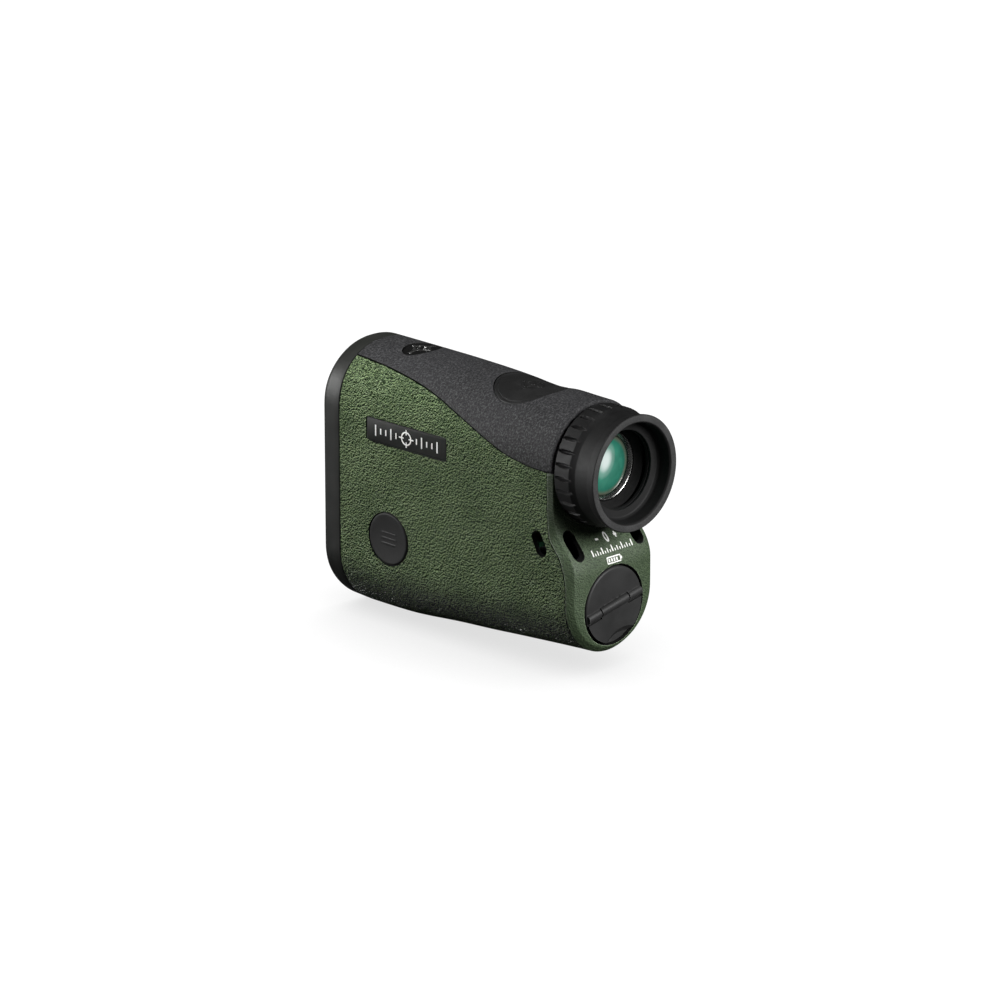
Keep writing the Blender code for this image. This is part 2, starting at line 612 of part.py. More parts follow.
turned("laser_diode", [(0, 12.6), (2.2, 12.6), (2.2, 9.2), (3.2, 9.2), (3.2, 7.8), (1.4, 7.8),
                       (1.4, 4.6), (0, 4.6)], (0, 0, -15.6), 24, STEEL)
board = block("main_board", (0, 3, BOARD_Z), (23.0, 60.0, 1.2), BOARD)
for i, (x, y) in enumerate(LEG_SPOTS, 1):
    boolean(board, cylinder(f"board_eye_{i}", "Z", (x, y, BOARD_Z), SCREW_BORE_R, 4, 12))
    screw(f"board_screw_{i}", x, y, -23.5)
block("board_processor", (0, 23, -21.2), (8, 8, 1.0), BLACK, 0.15)
turned("laser_capacitor", [(0, 0.5), (2.6, 0.5), (3.0, 0.1), (3.0, -11.2), (2.6, -11.6),
                           (0, -11.6)], (6.0, 1.2, -18.4), 16, CELL)

# ---------------------------------------------------------------- battery bay
CAP_Z = -38.13
CAP_AXIS = (0, 0, CAP_Z)
CAP_R = 10.7
CAP_HOLE_R = 11.05
BATTERY_R = 7.75

boolean(rear_cover, cylinder("cap_hole", "Y", (0, -43, CAP_Z), CAP_HOLE_R, 8, 48))
turned("battery_tube", [(CAP_R, -37.0), (CAP_R, -40.6), (9.15, -40.6), (9.15, -37.4),
                        (8.2, -37.0), (8.2, -8.4), (3.0, -8.4), (3.0, -7.0), (9.5, -7.0),
                        (9.5, -37.0)], CAP_AXIS, 32, CHASSIS)
turned("battery", [(0, -9.9), (3.0, -9.9), (3.0, -10.6), (7.35, -10.6), (BATTERY_R, -11.0),
                   (BATTERY_R, -36.5), (7.35, -36.9), (0, -36.9)], CAP_AXIS, 28, CELL)
turned("battery_contact", [(0, -8.75), (4.5, -8.75), (4.5, -9.55), (0, -9.55)],
       CAP_AXIS, 16, STEEL)

# ---------------------------------------------------------------- battery cap and its tab
CAP_FACE_Y = -43.85
TAB_TILT = math.radians(11.5)
TAB_AXIS_Y = -43.3           # the hinge line crosses the cap's axis here
KNUCKLE_R = 1.4
KNUCKLE_SPLIT = 5.3          # half length of the tab's middle knuckle, with half the gap
HINGE_BORE_R = 0.7

along_hinge = Vector((math.cos(TAB_TILT), 0, math.sin(TAB_TILT)))
across_hinge = Vector((-math.sin(TAB_TILT), 0, math.cos(TAB_TILT)))   # upwards
tilt = (0, -TAB_TILT, 0)
cap_split = KNUCKLE_SPLIT + HALF_GAP
tab_split = KNUCKLE_SPLIT - HALF_GAP


def on_cap(along, across, y):
    spot = along_hinge * along + across_hinge * across
    return (spot.x, y, spot.z + CAP_Z)


def tab_outline(radius, top, tongue_half):
    """Flap in the cap's (along, across): an arc under a straight top, tongue up to the hinge."""
    start = math.asin(top / radius)
    steps = 20
    angles = [math.pi - start + (math.pi + 2 * start) * k / steps for k in range(steps + 1)]
    arc = [(radius * math.cos(angle), radius * math.sin(angle)) for angle in angles]
    return arc + [(tongue_half, top), (tongue_half, 0.0), (-tongue_half, 0.0), (-tongue_half, top)]


def hinge_bar(name, low, high, radius, look=None, sides=20):
    """Cylinder on the hinge line between two places along it."""
    return cylinder(name, "X", on_cap((low + high) / 2, 0, TAB_AXIS_Y), radius, high - low,
                    sides, look, tilt)


battery_cap = turned("battery_cap", [(0, CAP_FACE_Y), (CAP_R - 0.5, CAP_FACE_Y), (CAP_R, -43.45),
                                     (CAP_R, -41.4), (8.8, -41.4), (8.8, -37.9), (0, -37.9)],
                     CAP_AXIS, 48, BLACK)
boolean(battery_cap, extruded("tab_pocket", tab_outline(11.3, -1.35, cap_split), -46, -42.4, "Y",
                              origin=CAP_AXIS, rotation=tilt))
boolean(battery_cap, hinge_bar("hinge_room", -cap_split, cap_split, KNUCKLE_R + GAP))
boolean(battery_cap, hinge_bar("knuckle_left", -10.3, -cap_split, KNUCKLE_R), "UNION")
boolean(battery_cap, hinge_bar("knuckle_right", cap_split, 10.3, KNUCKLE_R), "UNION")
boolean(battery_cap, hinge_bar("pin_bore", -9.3, 9.3, HINGE_BORE_R, sides=12))
boolean(battery_cap, cylinder("spring_well", "Y", (0, -39.0, CAP_Z), 6.6, 2.6, 32))

tab_low = CAP_FACE_Y - TAB_AXIS_Y
cap_tab = extruded("cap_tab", tab_outline(10.45, -1.85, tab_split), tab_low, tab_low + 1.15, "Y",
                   BLACK, (0, TAB_AXIS_Y, CAP_Z), tilt)
boolean(cap_tab, hinge_bar("tab_knuckle", -tab_split, tab_split, KNUCKLE_R), "UNION")
boolean(cap_tab, hinge_bar("tab_bore", -6, 6, HINGE_BORE_R, sides=12))
boolean(cap_tab, cylinder("finger_nick", "Y", on_cap(-0.3, -17.6, -43), 11.4, 6, 64))
hinge_bar("tab_hinge_pin", -9.0, 9.0, 0.45, STEEL, 12)

oring("battery_cap_oring", 9.55, 0.3, (0, -41.0, CAP_Z))
turned("cap_contact", [(0, -39.65), (6.2, -39.65), (6.2, -39.95), (0, -39.95)],
       CAP_AXIS, 20, STEEL)


def coil(name, centre, radius_low, radius_high, low, high, turns, wire, look):
    """Conical compression spring along Y, swept as a curve and kept as a mesh."""
    count = int(turns * 16) + 1
    curve = bpy.data.curves.new(name, "CURVE")
    curve.dimensions = "3D"
    curve.bevel_depth = wire * MM
    curve.bevel_resolution = 1
    curve.use_fill_caps = True
    line = curve.splines.new("POLY")
    line.points.add(count - 1)
    for i in range(count):
        t = i / (count - 1)
        angle = 2 * math.pi * turns * t
        radius = radius_low + (radius_high - radius_low) * t
        y = low + wire + (high - low - 2 * wire) * t
        line.points[i].co = (radius * math.cos(angle) * MM, y * MM, radius * math.sin(angle) * MM, 1)
    path = bpy.data.objects.new(name + "_path", curve)
    parts.objects.link(path)
    bpy.context.view_layer.update()
    evaluated = path.evaluated_get(bpy.context.evaluated_depsgraph_get())
    mesh = bpy.data.meshes.new_from_object(evaluated)
    bpy.data.objects.remove(path, do_unlink=True)

    # weld the end caps to the tube
    shape = bmesh.new()
    shape.from_mesh(mesh)
    bmesh.ops.remove_doubles(shape, verts=shape.verts, dist=0.000001)
    bmesh.ops.recalc_face_normals(shape, faces=shape.faces)
    shape.to_mesh(mesh)
    shape.free()
    mesh.materials.append(look)
    obj = bpy.data.objects.new(name, mesh)
    obj.location = place(*centre)
    parts.objects.link(obj)


coil("cap_spring", CAP_AXIS, radius_low=5.2, radius_high=2.8, low=-39.35, high=-37.15,
     turns=2.0, wire=0.25, look=STEEL)

# ---------------------------------------------------------------- eyepiece
turned("eyepiece_sleeve", [(13.9, -32.4), (13.9, -33.9), (12.9, -33.9), (12.9, -38.0),
                           (12.3, -38.0), (12.3, -39.2), (12.9, -39.2), (12.9, -43.4),
                           (11.75, -43.4), (11.75, -30.0), (12.9, -30.0), (12.9, -32.4)],
       EYE_AXIS, 36, METAL)
oring("diopter_oring", 12.85, 0.33, (0, -38.6, 0))
turned("diopter_ring", [(14.2, -36.8), (14.2, -45.6), (10.8, -45.6), (10.8, -44.6),
                        (13.4, -44.6), (13.4, -36.8)], EYE_AXIS, 36, BLACK)
eyecup = turned("eyecup", [(15.8, -36.9), (16.3, -37.4), (16.3, -42.5), (15.95, -43.2),
                           (15.55, -44.1), (15.5, -48.3), (15.9, -50.2), (15.95, -50.7),
                           (15.75, RIM_Y), (13.9, RIM_Y), (13.6, -50.6), (13.4, -47.3),
                           (12.9, -46.6), (10.9, -46.45), (10.9, -45.9), (14.5, -45.9),
                           (14.5, -36.9)], EYE_AXIS, 40, RUBBER)

# thumb grooves round the eyecup, cut by a ring of long ellipsoids
GROOVE_COUNT = 28
GROOVE_START = math.radians(92.6)
GROOVE_RING_R, GROOVE_Y = 16.95, -40.15
GROOVE_RADII = (1.35, 1.05, 3.0)   # in the sphere's own frame, the last one along Y

grooves = bmesh.new()
groove_shape = Matrix.Rotation(math.pi / 2, 4, "X") @ Matrix.Diagonal((*GROOVE_RADII, 1.0))
for k in range(GROOVE_COUNT):
    angle = GROOVE_START + 2 * math.pi * k / GROOVE_COUNT
    spot = (GROOVE_RING_R * math.cos(angle), GROOVE_Y, GROOVE_RING_R * math.sin(angle))
    turn = Matrix.Translation(spot) @ Matrix.Rotation(-angle, 4, "Y")
    bmesh.ops.create_uvsphere(grooves, u_segments=6, v_segments=3, radius=1.0,
                              matrix=turn @ groove_shape)
boolean(eyecup, from_bmesh("thumb_grooves", grooves))

turned("ocular_cell", [(11.4, -31.0), (11.4, -43.5), (10.9, -43.5), (9.6, -41.8), (9.6, -36.2),
                       (8.2, -36.2), (8.2, -31.0)], EYE_AXIS, 32, METAL)
lens("ocular_lens", OCULAR_R, low=-40.0, high=-36.5, sag_low=1.0, sag_high=0.0)
lens("field_lens", 7.9, low=-35.2, high=-32.6, sag_low=0.4, sag_high=0.4, segments=20)
turned("ocular_retainer", [(9.3, -40.4), (9.3, -41.2), (8.7, -41.2), (8.35, -40.4)],
       EYE_AXIS, 32, STEEL)
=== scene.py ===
"""Looks of a handheld laser rangefinder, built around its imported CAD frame.

The body stands upright, Z up. The eyepiece and battery cap are at the rear (-Y), the two front
lenses at +Y, the side plate and menu button on the left (-X). Shapes are in millimetres, with z
measured from the eyepiece axis; lights and camera are in metres.
"""

import math
from bisect import bisect_right
from functools import cached_property

import bmesh
import bpy
from mathutils import Matrix, Vector


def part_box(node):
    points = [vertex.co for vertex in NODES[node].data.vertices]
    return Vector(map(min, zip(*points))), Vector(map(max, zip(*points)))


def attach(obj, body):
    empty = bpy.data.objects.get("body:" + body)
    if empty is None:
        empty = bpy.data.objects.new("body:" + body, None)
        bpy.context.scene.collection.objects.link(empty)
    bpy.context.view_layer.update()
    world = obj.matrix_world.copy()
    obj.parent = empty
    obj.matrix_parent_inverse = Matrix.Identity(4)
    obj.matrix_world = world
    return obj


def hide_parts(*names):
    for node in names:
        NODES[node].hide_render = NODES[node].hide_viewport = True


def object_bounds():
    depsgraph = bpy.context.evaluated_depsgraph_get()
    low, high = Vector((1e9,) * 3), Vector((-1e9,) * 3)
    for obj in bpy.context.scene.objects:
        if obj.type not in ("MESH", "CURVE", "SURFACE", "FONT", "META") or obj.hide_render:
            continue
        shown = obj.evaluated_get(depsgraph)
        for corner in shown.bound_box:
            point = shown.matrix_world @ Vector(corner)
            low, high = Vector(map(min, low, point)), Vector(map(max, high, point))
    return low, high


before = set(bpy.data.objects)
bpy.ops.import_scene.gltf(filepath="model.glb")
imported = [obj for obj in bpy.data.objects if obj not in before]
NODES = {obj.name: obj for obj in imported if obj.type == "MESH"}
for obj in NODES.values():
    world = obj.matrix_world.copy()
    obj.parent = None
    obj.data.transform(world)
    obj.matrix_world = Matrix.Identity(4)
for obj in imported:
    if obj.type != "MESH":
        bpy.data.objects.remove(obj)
cad_box = [list(corner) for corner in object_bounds()]
MM = 0.001


def box_mm(node):
    low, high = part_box(node)
    return low * 1000, high * 1000


def middle(node):
    low, high = box_mm(node)
    return (low + high) / 2


# ------------------------------------------------------------------ places taken from the frame
EYE_Z = middle("eyecup").z
CAP_Z = middle("battery_cap").z - EYE_Z
RECEIVER_Z = middle("receiver_lens").z - EYE_Z
MENU = middle("menu_button")
MENU_AT = (MENU.y, MENU.z - EYE_Z)
MENU_LOW, MENU_HIGH = box_mm("menu_button")
MENU_RADIUS = min((MENU_HIGH.y - MENU_LOW.y) / 2, 7.34)
MEASURE_AT = (0.0, middle("measure_button").y)
BADGE_AT = (0.0, middle("top_badge").y)
PLATE_LOW, PLATE_HIGH = box_mm("side_plate")
PLATE_AT = ((PLATE_LOW.y + PLATE_HIGH.y) / 2, (PLATE_LOW.z + PLATE_HIGH.z) / 2 - EYE_Z)
PLATE_HALF = ((PLATE_HIGH.y - PLATE_LOW.y) / 2, (PLATE_HIGH.z - PLATE_LOW.z) / 2)

# ------------------------------------------------------------------ shape rules of the body
HALF_WIDTH, HALF_WIDTH_TAPER = 16.75, 0.0175      # at y = 0, and its gain per mm of y
DOME_POWER = 2.2                                  # superellipse power of the top
# (y, z) of the body's top and bottom along its length
TOP_LINE = [
    (-51, 16.9), (-36.5, 16.9), (-30, 17.0), (-24.5, 17.15), (-20, 16.9), (-16, 16.8),
    (-12, 17.0), (-6, 17.4), (0, 17.75), (10, 18.1), (20, 18.3), (51, 18.5)]
BOTTOM_LINE = [
    (-51, -50.9), (-40.7, -51.4), (-16.7, -53.1), (-4.5, -54.1), (7.9, -54.95), (14.1, -55.5),
    (20.4, -56.1), (26.7, -56.5), (34, -56.6), (40, -56.6), (51, -56.1)]
# (z, y) of the crease round the rear face
REAR_EDGE = [
    (-60, -43.13), (-27.5, -43.13), (-26, -42.95), (-24.4, -42.41), (-22.9, -41.68),
    (-21.8, -40.93), (-20.8, -40.04), (-19.7, -39.0), (-18.2, -37.85), (-16.3, -36.9),
    (-13.5, -36.4), (-10, -36.25), (-5, -36.2), (25, -36.2)]
# (z, how far the crease lies inside the side skin)
EDGE_INSET = [(-60, 1.47), (-19, 1.47), (-10, 0.5), (25, 0.5)]
# bulge of the rear face, and (z, share of it)
CROWN = 0.62
CROWN_FADE = [(-60, 1.0), (-26, 1.0), (-14, 0.0), (25, 0.0)]
# (y, z) of the seam between side shell and top cover
COVER_SEAM = [
    (-60, 0.2), (-29.9, 0.3), (-24.2, 0.95), (-18.6, 2.1), (-12.6, 4.1), (-6.3, 6.5),
    (0.2, 8.8), (7.1, 11.0), (14.2, 12.7), (24.4, 14.2), (34.5, 15.1), (50, 15.7)]
# (z, y) of the seam between side shell and rear cover
REAR_SEAM = [
    (-70, -41.15), (-31, -41.15), (-29.2, -40.95), (-26.7, -40.45), (-25.4, -39.95),
    (-24.1, -39.5), (-23.1, -39.1), (-22.1, -38.4), (-21.1, -37.5), (-19.8, -36.45),
    (-18.4, -35.4), (-16.5, -34.9), (-13.1, -34.6), (-10, -34.5), (10, -34.4)]
BEZEL_SEAM_Y, FRONT_Y, BEZEL_FILLET, BEZEL_RIM = 43.75, 51.0, 2.4, 3.6
# (z, y) of the bezel's front
BEZEL_FRONT = [(-57, FRONT_Y - 0.9), (-44, FRONT_Y), (4, FRONT_Y), (19, FRONT_Y - 0.9)]
GAP = 0.15                     # half of each seam's opening
WALL = 1.5                     # shell thickness
FRONT_STOP = BEZEL_SEAM_Y - GAP


def cell_at(keys, key):
    """Index of the cell of a rising table that holds key, and the share of the way across it."""
    i = min(bisect_right(keys, key) - 1, len(keys) - 2)
    return i, (key - keys[i]) / (keys[i + 1] - keys[i])


def smooth_curve(points):
    """Monotone cubic through (place, value) points, constant beyond its ends."""
    places, values = zip(*points)
    count = len(places)
    step = [(values[i + 1] - values[i]) / (places[i + 1] - places[i]) for i in range(count - 1)]
    slope = [0.0] * count
    for i in range(1, count - 1):
        if step[i - 1] * step[i] > 0:
            slope[i] = 2 * step[i - 1] * step[i] / (step[i - 1] + step[i])

    def value(place):
        if place <= places[0]:
            return values[0]
        if place >= places[-1]:
            return values[-1]
        i, part = cell_at(places, place)
        span = places[i + 1] - places[i]
        return ((1 + 2 * part) * (1 - part) ** 2 * values[i]
                + part * (1 - part) ** 2 * span * slope[i]
                + part * part * (3 - 2 * part) * values[i + 1]
                + part * part * (part - 1) * span * slope[i + 1])

    return value


top_line = smooth_curve(TOP_LINE)
bottom_line = smooth_curve(BOTTOM_LINE)
rear_edge = smooth_curve(REAR_EDGE)
edge_inset = smooth_curve(EDGE_INSET)
crown_fade = smooth_curve(CROWN_FADE)
cover_seam = smooth_curve(COVER_SEAM)
rear_seam = smooth_curve(REAR_SEAM)
bezel_front = smooth_curve(BEZEL_FRONT)

# quarter of a unit dome from its side to its top: widths, heights and arc lengths
DOME_STEPS = 400
DOME_X = [math.cos(math.pi / 2 * k / DOME_STEPS) ** (2 / DOME_POWER) for k in range(DOME_STEPS)]
DOME_X.append(0.0)
DOME_Z = [math.sin(math.pi / 2 * k / DOME_STEPS) ** (2 / DOME_POWER)
          for k in range(DOME_STEPS + 1)]
DOME_ARC = [0.0]
for k in range(DOME_STEPS):
    DOME_ARC.append(DOME_ARC[-1] + math.hypot(DOME_X[k + 1] - DOME_X[k], DOME_Z[k + 1] - DOME_Z[k]))


def half_width(y):
    return HALF_WIDTH + HALF_WIDTH_TAPER * y


def section(y):
    """Half width at y, and the heights where the flat side meets the dome and the belly."""
    full = half_width(y)
    return full, top_line(y) - full, bottom_line(y) + full


def section_point(girth, y, inset=0.0):
    """(x >= 0, z) at a girth from the bottom centre of the section at y."""
    full, z_top, z_low = section(y)
    width = full - inset
    belly = width * math.pi / 2
    flat = z_top - z_low
    if girth < belly:
        return width * math.sin(girth / width), z_low - width * math.cos(girth / width)
    if girth < belly + flat:
        return width, z_low + girth - belly
    arc = min(max((girth - belly - flat) / width, 0.0), DOME_ARC[-1])
    i, part = cell_at(DOME_ARC, arc)
    x = DOME_X[i] + part * (DOME_X[i + 1] - DOME_X[i])
    z = DOME_Z[i] + part * (DOME_Z[i + 1] - DOME_Z[i])
    return width * x, z_top + width * z


def girth_at(z, y, inset=0.0):
    """Girth from the bottom centre to height z on the section at y."""
    full, z_top, z_low = section(y)
    width = full - inset
    belly = width * math.pi / 2
    if z < z_low:
        return width * math.acos(max(-1, min(1, (z_low - z) / width)))
    if z <= z_top:
        return belly + z - z_low
    i, part = cell_at(DOME_Z, min((z - z_top) / width, 1.0))
    arc = DOME_ARC[i] + part * (DOME_ARC[i + 1] - DOME_ARC[i])
    return belly + (z_top - z_low) + width * arc


def full_girth(y, inset=0.0):
    full, z_top, z_low = section(y)
    width = full - inset
    return width * math.pi / 2 + z_top - z_low + width * DOME_ARC[-1]


def side_x(y, z):
    """Half width of the body at height z of the section at y."""
    full, z_top, z_low = section(y)
    if z > z_top:
        return full * max(0.0, 1 - ((z - z_top) / full) ** DOME_POWER) ** (1 / DOME_POWER)
    if z < z_low:
        return math.sqrt(max(0.0, full * full - (z - z_low) ** 2))
    return full


def top_z(x, y):
    full, z_top, _ = section(y)
    return z_top + full * max(0.0, 1 - (abs(x) / full) ** DOME_POWER) ** (1 / DOME_POWER)


def rear_skin(x, z):
    """y of the rear face: its crease plus the crown of the face."""
    y = rear_edge(z)
    width = half_width(y) - edge_inset(z)
    below = max(0.0, bottom_line(y) + half_width(y) - z)
    reach = min(math.hypot(x / width, below / width), 1.0)
    return y - CROWN * crown_fade(z) * max(0.0, 1 - reach ** 6)


def beside(rule, place, gap):
    """Value of a seam rule, moved by gap square to the seam."""
    return rule(place) + gap * math.hypot(1, (rule(place + 0.1) - rule(place - 0.1)) / 0.2)


# ------------------------------------------------------------------ mesh helpers
def finish(obj, body, material, node=None, inner=None):
    """Gives a piece its materials and tells the frame which body it rides and what it replaces."""
    index = [0] * len(obj.data.polygons)
    obj.data.polygons.foreach_get("material_index", index)
    obj.data.materials.clear()
    obj.data.materials.append(material)
    if inner:
        obj.data.materials.append(inner)
        obj.data.polygons.foreach_set("material_index", [min(k, 1) for k in index])
    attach(obj, body)
    if node:
        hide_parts(node)


def add_two_slots(mesh):
    for _ in range(2):
        mesh.materials.append(None)


def make(name, points, faces, sharp=None, recalc=False, weld=0.0, inner_from=None):
    """Smooth-shaded object; faces from inner_from on take the second material."""
    mesh = bpy.data.meshes.new(name)
    mesh.from_pydata([(x * MM, y * MM, (z + EYE_Z) * MM) for x, y, z in points], [], faces)
    if inner_from is not None:
        add_two_slots(mesh)
        slots = [1 if k >= inner_from else 0 for k in range(len(faces))]
        mesh.polygons.foreach_set("material_index", slots)
    if recalc:
        work = bmesh.new()
        work.from_mesh(mesh)
        if weld:
            bmesh.ops.remove_doubles(work, verts=work.verts, dist=weld * MM)
        bmesh.ops.recalc_face_normals(work, faces=work.faces)
        work.to_mesh(mesh)
        work.free()
    obj = bpy.data.objects.new(name, mesh)
    bpy.context.scene.collection.objects.link(obj)
    mesh.shade_smooth()
    if sharp:
        mesh.set_sharp_from_angle(angle=math.radians(sharp))
    return obj


def face_outward(obj, inside_z):
    """Turns an open sheet so that most of its faces look away from a point on the centre line."""
    centre = Vector((0, 0, inside_z + EYE_Z)) * MM
    score = sum(face.area * (1 if face.normal.dot(face.center - centre) > 0 else -1)
                for face in obj.data.polygons)
    if score < 0:
        obj.data.flip_normals()
    return obj


def solidify(obj):
    step = obj.modifiers.new("thickness", "SOLIDIFY")
    step.thickness = WALL * MM
    step.offset = -1
    step.use_even_offset = True
    # inside and edge faces of the shell take the second material, black painted shade
    step.material_offset = 1
    step.material_offset_rim = 1
    add_two_slots(obj.data)


def soften(obj, width, segments=2, angle=50):
    """Bevels the edges and weights the shading towards the large faces."""
    step = obj.modifiers.new("edges", "BEVEL")
    step.width = width * MM
    step.segments = segments
    step.limit_method = "ANGLE"
    step.angle_limit = math.radians(angle)
    step.use_clamp_overlap = True
    step.harden_normals = False
    step.material = 0
    step = obj.modifiers.new("shading", "WEIGHTED_NORMAL")
    step.keep_sharp = True
    step.weight = 60


def cut(obj, other, operation="DIFFERENCE", inner=False):
    """Boolean applied at once; with inner, the cut walls take the second material."""
    if inner:
        add_two_slots(other.data)
        other.data.polygons.foreach_set("material_index", [1] * len(other.data.polygons))
    step = obj.modifiers.new("cut", "BOOLEAN")
    step.operation = operation
    step.solver = "MANIFOLD"
    step.object = other
    bpy.context.view_layer.update()
    evaluated = obj.evaluated_get(bpy.context.evaluated_depsgraph_get())
    done = bpy.data.meshes.new_from_object(evaluated)
    obj.modifiers.clear()
    old = obj.data
    obj.data = done
    bpy.data.meshes.remove(old)
    mesh = other.data
    bpy.data.objects.remove(other)
    bpy.data.meshes.remove(mesh)


def last_inside(inside, high):
    """Largest distance up to high for which inside(distance) holds."""
    low = 0.0
    for _ in range(40):
        trial = (low + high) / 2
        if inside(trial):
            low = trial
        else:
            high = trial
    return low


class Sheet:
    """A grid of quads in which holes can be opened, each edged by rings of extra quads."""

    def __init__(self, columns, rows, point):
        self.columns, self.rows = columns, rows
        self.points = [point(i, j) for j in range(rows + 1) for i in range(columns + 1)]
        at = self.at
        self.cells = {(i, j): (at(i, j), at(i + 1, j), at(i + 1, j + 1), at(i, j + 1))
                      for j in range(rows) for i in range(columns)}
        self.collars = []

    def at(self, i, j):
        return j * (self.columns + 1) + i

    def punch(self, centre, outside, chart, margin, rings=6):
        """Opens the hole where outside(chart point) is negative.

        A box of cells is removed round the hole, and rings of quads fill in up to its outline.
        """
        to_chart, from_chart, on_chart = chart

        def place(i, j):
            return to_chart(self.points[self.at(i, j)])

        spots = [(i, j) for j in range(self.rows + 1) for i in range(self.columns + 1)
                 if on_chart(self.points[self.at(i, j)])]
        i, j = min(spots, key=lambda spot: math.dist(place(*spot), centre))
        box = [i - 1, i + 1, j - 1, j + 1]
        limits = [0, self.columns, 0, self.rows]

        def crowded(side):
            columns, rows = range(box[0], box[1] + 1), range(box[2], box[3] + 1)
            if side < 2:
                columns = [box[side]]
            else:
                rows = [box[side]]
            return min(outside(*place(i, j)) for j in rows for i in columns) <= margin

        growing = True
        while growing:
            growing = False
            for side, step in enumerate((-1, 1, -1, 1)):
                if box[side] != limits[side] and crowded(side):
                    box[side] += step
                    growing = True
        first, last, low, high = box
        for j in range(low, high):
            for i in range(first, last):
                self.cells.pop((i, j), None)
        loop = [(i, low) for i in range(first, last)] + [(last, j) for j in range(low, high)]
        loop += [(i, high) for i in range(last, first, -1)]
        loop += [(first, j) for j in range(high, low, -1)]
        ring = [self.at(i, j) for i, j in loop]
        outer = [place(i, j) for i, j in loop]

        def towards(point, share):
            return [c + share * (p - c) for c, p in zip(centre, point)]

        inner = [towards(point, last_inside(lambda share: outside(*towards(point, share)) < 0, 1.0))
                 for point in outer]
        for k in range(1, rings + 1):
            share = 1 - (1 - k / rings) ** 1.5
            fresh = []
            for start, end in zip(outer, inner):
                fresh.append(len(self.points))
                self.points.append(from_chart(start[0] + (end[0] - start[0]) * share,
                                              start[1] + (end[1] - start[1]) * share))
            for i in range(len(ring)):
                j = (i + 1) % len(ring)
                self.collars.append((ring[i], ring[j], fresh[j], fresh[i]))
            ring = fresh

    def build(self, name):
        quads = list(self.cells.values()) + self.collars
        used = sorted({corner for quad in quads for corner in quad})
        index = {corner: k for k, corner in enumerate(used)}
        faces = [tuple(index[corner] for corner in quad) for quad in quads]
        return make(name, [self.points[corner] for corner in used], faces)


def side_chart(sign):
    """Chart of one side of the body, in (y, z): -1 for the left, 1 for the right."""
    return (lambda point: point[1:], lambda y, z: (sign * side_x(y, z), y, z),
            lambda point: sign * point[0] > 0)


LEFT_CHART, RIGHT_CHART = side_chart(-1), side_chart(1)
TOP_CHART = (lambda point: point[:2], lambda x, y: (x, y, top_z(x, y)), lambda point: True)


def outside_circle(centre, radius):
    """Signed distance outside a circle."""
    return lambda across, up: math.hypot(across - centre[0], up - centre[1]) - radius


def outside_slot(centre, half_across, half_up, radius, lean=0.0):
    """Signed distance outside a rounded rectangle turned by lean."""
    cos, sin = math.cos(lean), math.sin(lean)

    def value(across, up):
        along, aside = across - centre[0], up - centre[1]
        beyond = abs(cos * along + sin * aside) - (half_across - radius)
        above = abs(-sin * along + cos * aside) - (half_up - radius)
        return math.hypot(max(beyond, 0), max(above, 0)) + min(max(beyond, above), 0) - radius

    return value


def rounded(points, radius, segments=4):
    """Closed outline with rounded corners; radius is one value or a list with one per corner."""
    out = []
    for i, point in enumerate(points):
        before, after = points[i - 1], points[(i + 1) % len(points)]
        soft = radius[i] if isinstance(radius, list) else radius
        back = Vector((before[0] - point[0], before[1] - point[1]))
        ahead = Vector((after[0] - point[0], after[1] - point[1]))
        back_length, ahead_length = back.length, ahead.length
        back /= back_length
        ahead /= ahead_length
        angle = math.acos(max(-1, min(1, back.dot(ahead))))
        if angle > math.radians(172):
            out.append(point)
            continue
        reach = min(soft / math.tan(angle / 2), 0.46 * back_length, 0.46 * ahead_length)
        corner = Vector(point)
        start, end = corner + back * reach, corner + ahead * reach
        for k in range(segments + 1):
            share = k / segments
            spot = start.lerp(corner, share).lerp(corner.lerp(end, share), share)
            out.append((spot.x, spot.y))
    return out


def join_rows(rows, closed=False):
    """Faces between successive rings of point numbers; a row of one point is a tip."""
    faces = []
    for one, two in list(zip(rows, rows[1:])) + ([(rows[-1], rows[0])] if closed else []):
        count = max(len(one), len(two))
        for k in range(count if count > 1 else 0):
            n = (k + 1) % count
            if len(one) == 1:
                faces.append((one[0], two[k], two[n]))
            elif len(two) == 1:
                faces.append((one[k], two[0], one[n]))
            else:
                faces.append((one[k], two[k], two[n], one[n]))
    return faces


def stack_faces(rings, size, closed=False, capped=False, base=0):
    """Quads between stacked rings of size points; closed joins the last ring to the first."""
    faces = []
    for row in range(rings if closed else rings - 1):
        low, high = base + row * size, base + (row + 1) % rings * size
        for k in range(size):
            n = (k + 1) % size
            faces.append((low + k, low + n, high + n, high + k))
    if capped:
        faces += [tuple(range(size)), tuple(range(size * (rings - 1), size * rings))]
    return faces


def about_y(height=0.0, side=0.0):
    """Placing rule for a body turned about a line along Y."""
    return lambda x, y, z: (side + x, y, height + z)


def spin(name, outline, segments, place=about_y(), closed=False, shift=None, sharp=40):
    """Body of revolution from (radius, place along the axis) points; open outlines meet the axis.

    shift(radius, along, angle) is added to the radius.
    """
    points, rows = [], []
    for radius, along in outline:
        count = 1 if radius < 1e-6 else segments
        rows.append(list(range(len(points), len(points) + count)))
        if count == 1:
            points.append(place(0.0, along, 0.0))
            continue
        for k in range(segments):
            angle = 2 * math.pi * k / segments
            reach = radius + shift(radius, along, angle) if shift else radius
            points.append(place(reach * math.cos(angle), along, reach * math.sin(angle)))
    return make(name, points, join_rows(rows, closed), sharp=sharp, recalc=True)


def turned_piece(name, node, outline, soft, material, body="housing", z=0.0):
    """Ring turned about a line along Y, with softened corners."""
    obj = spin(name, rounded(outline, soft, 3), 112, about_y(z), closed=True)
    finish(obj, body, material, node)


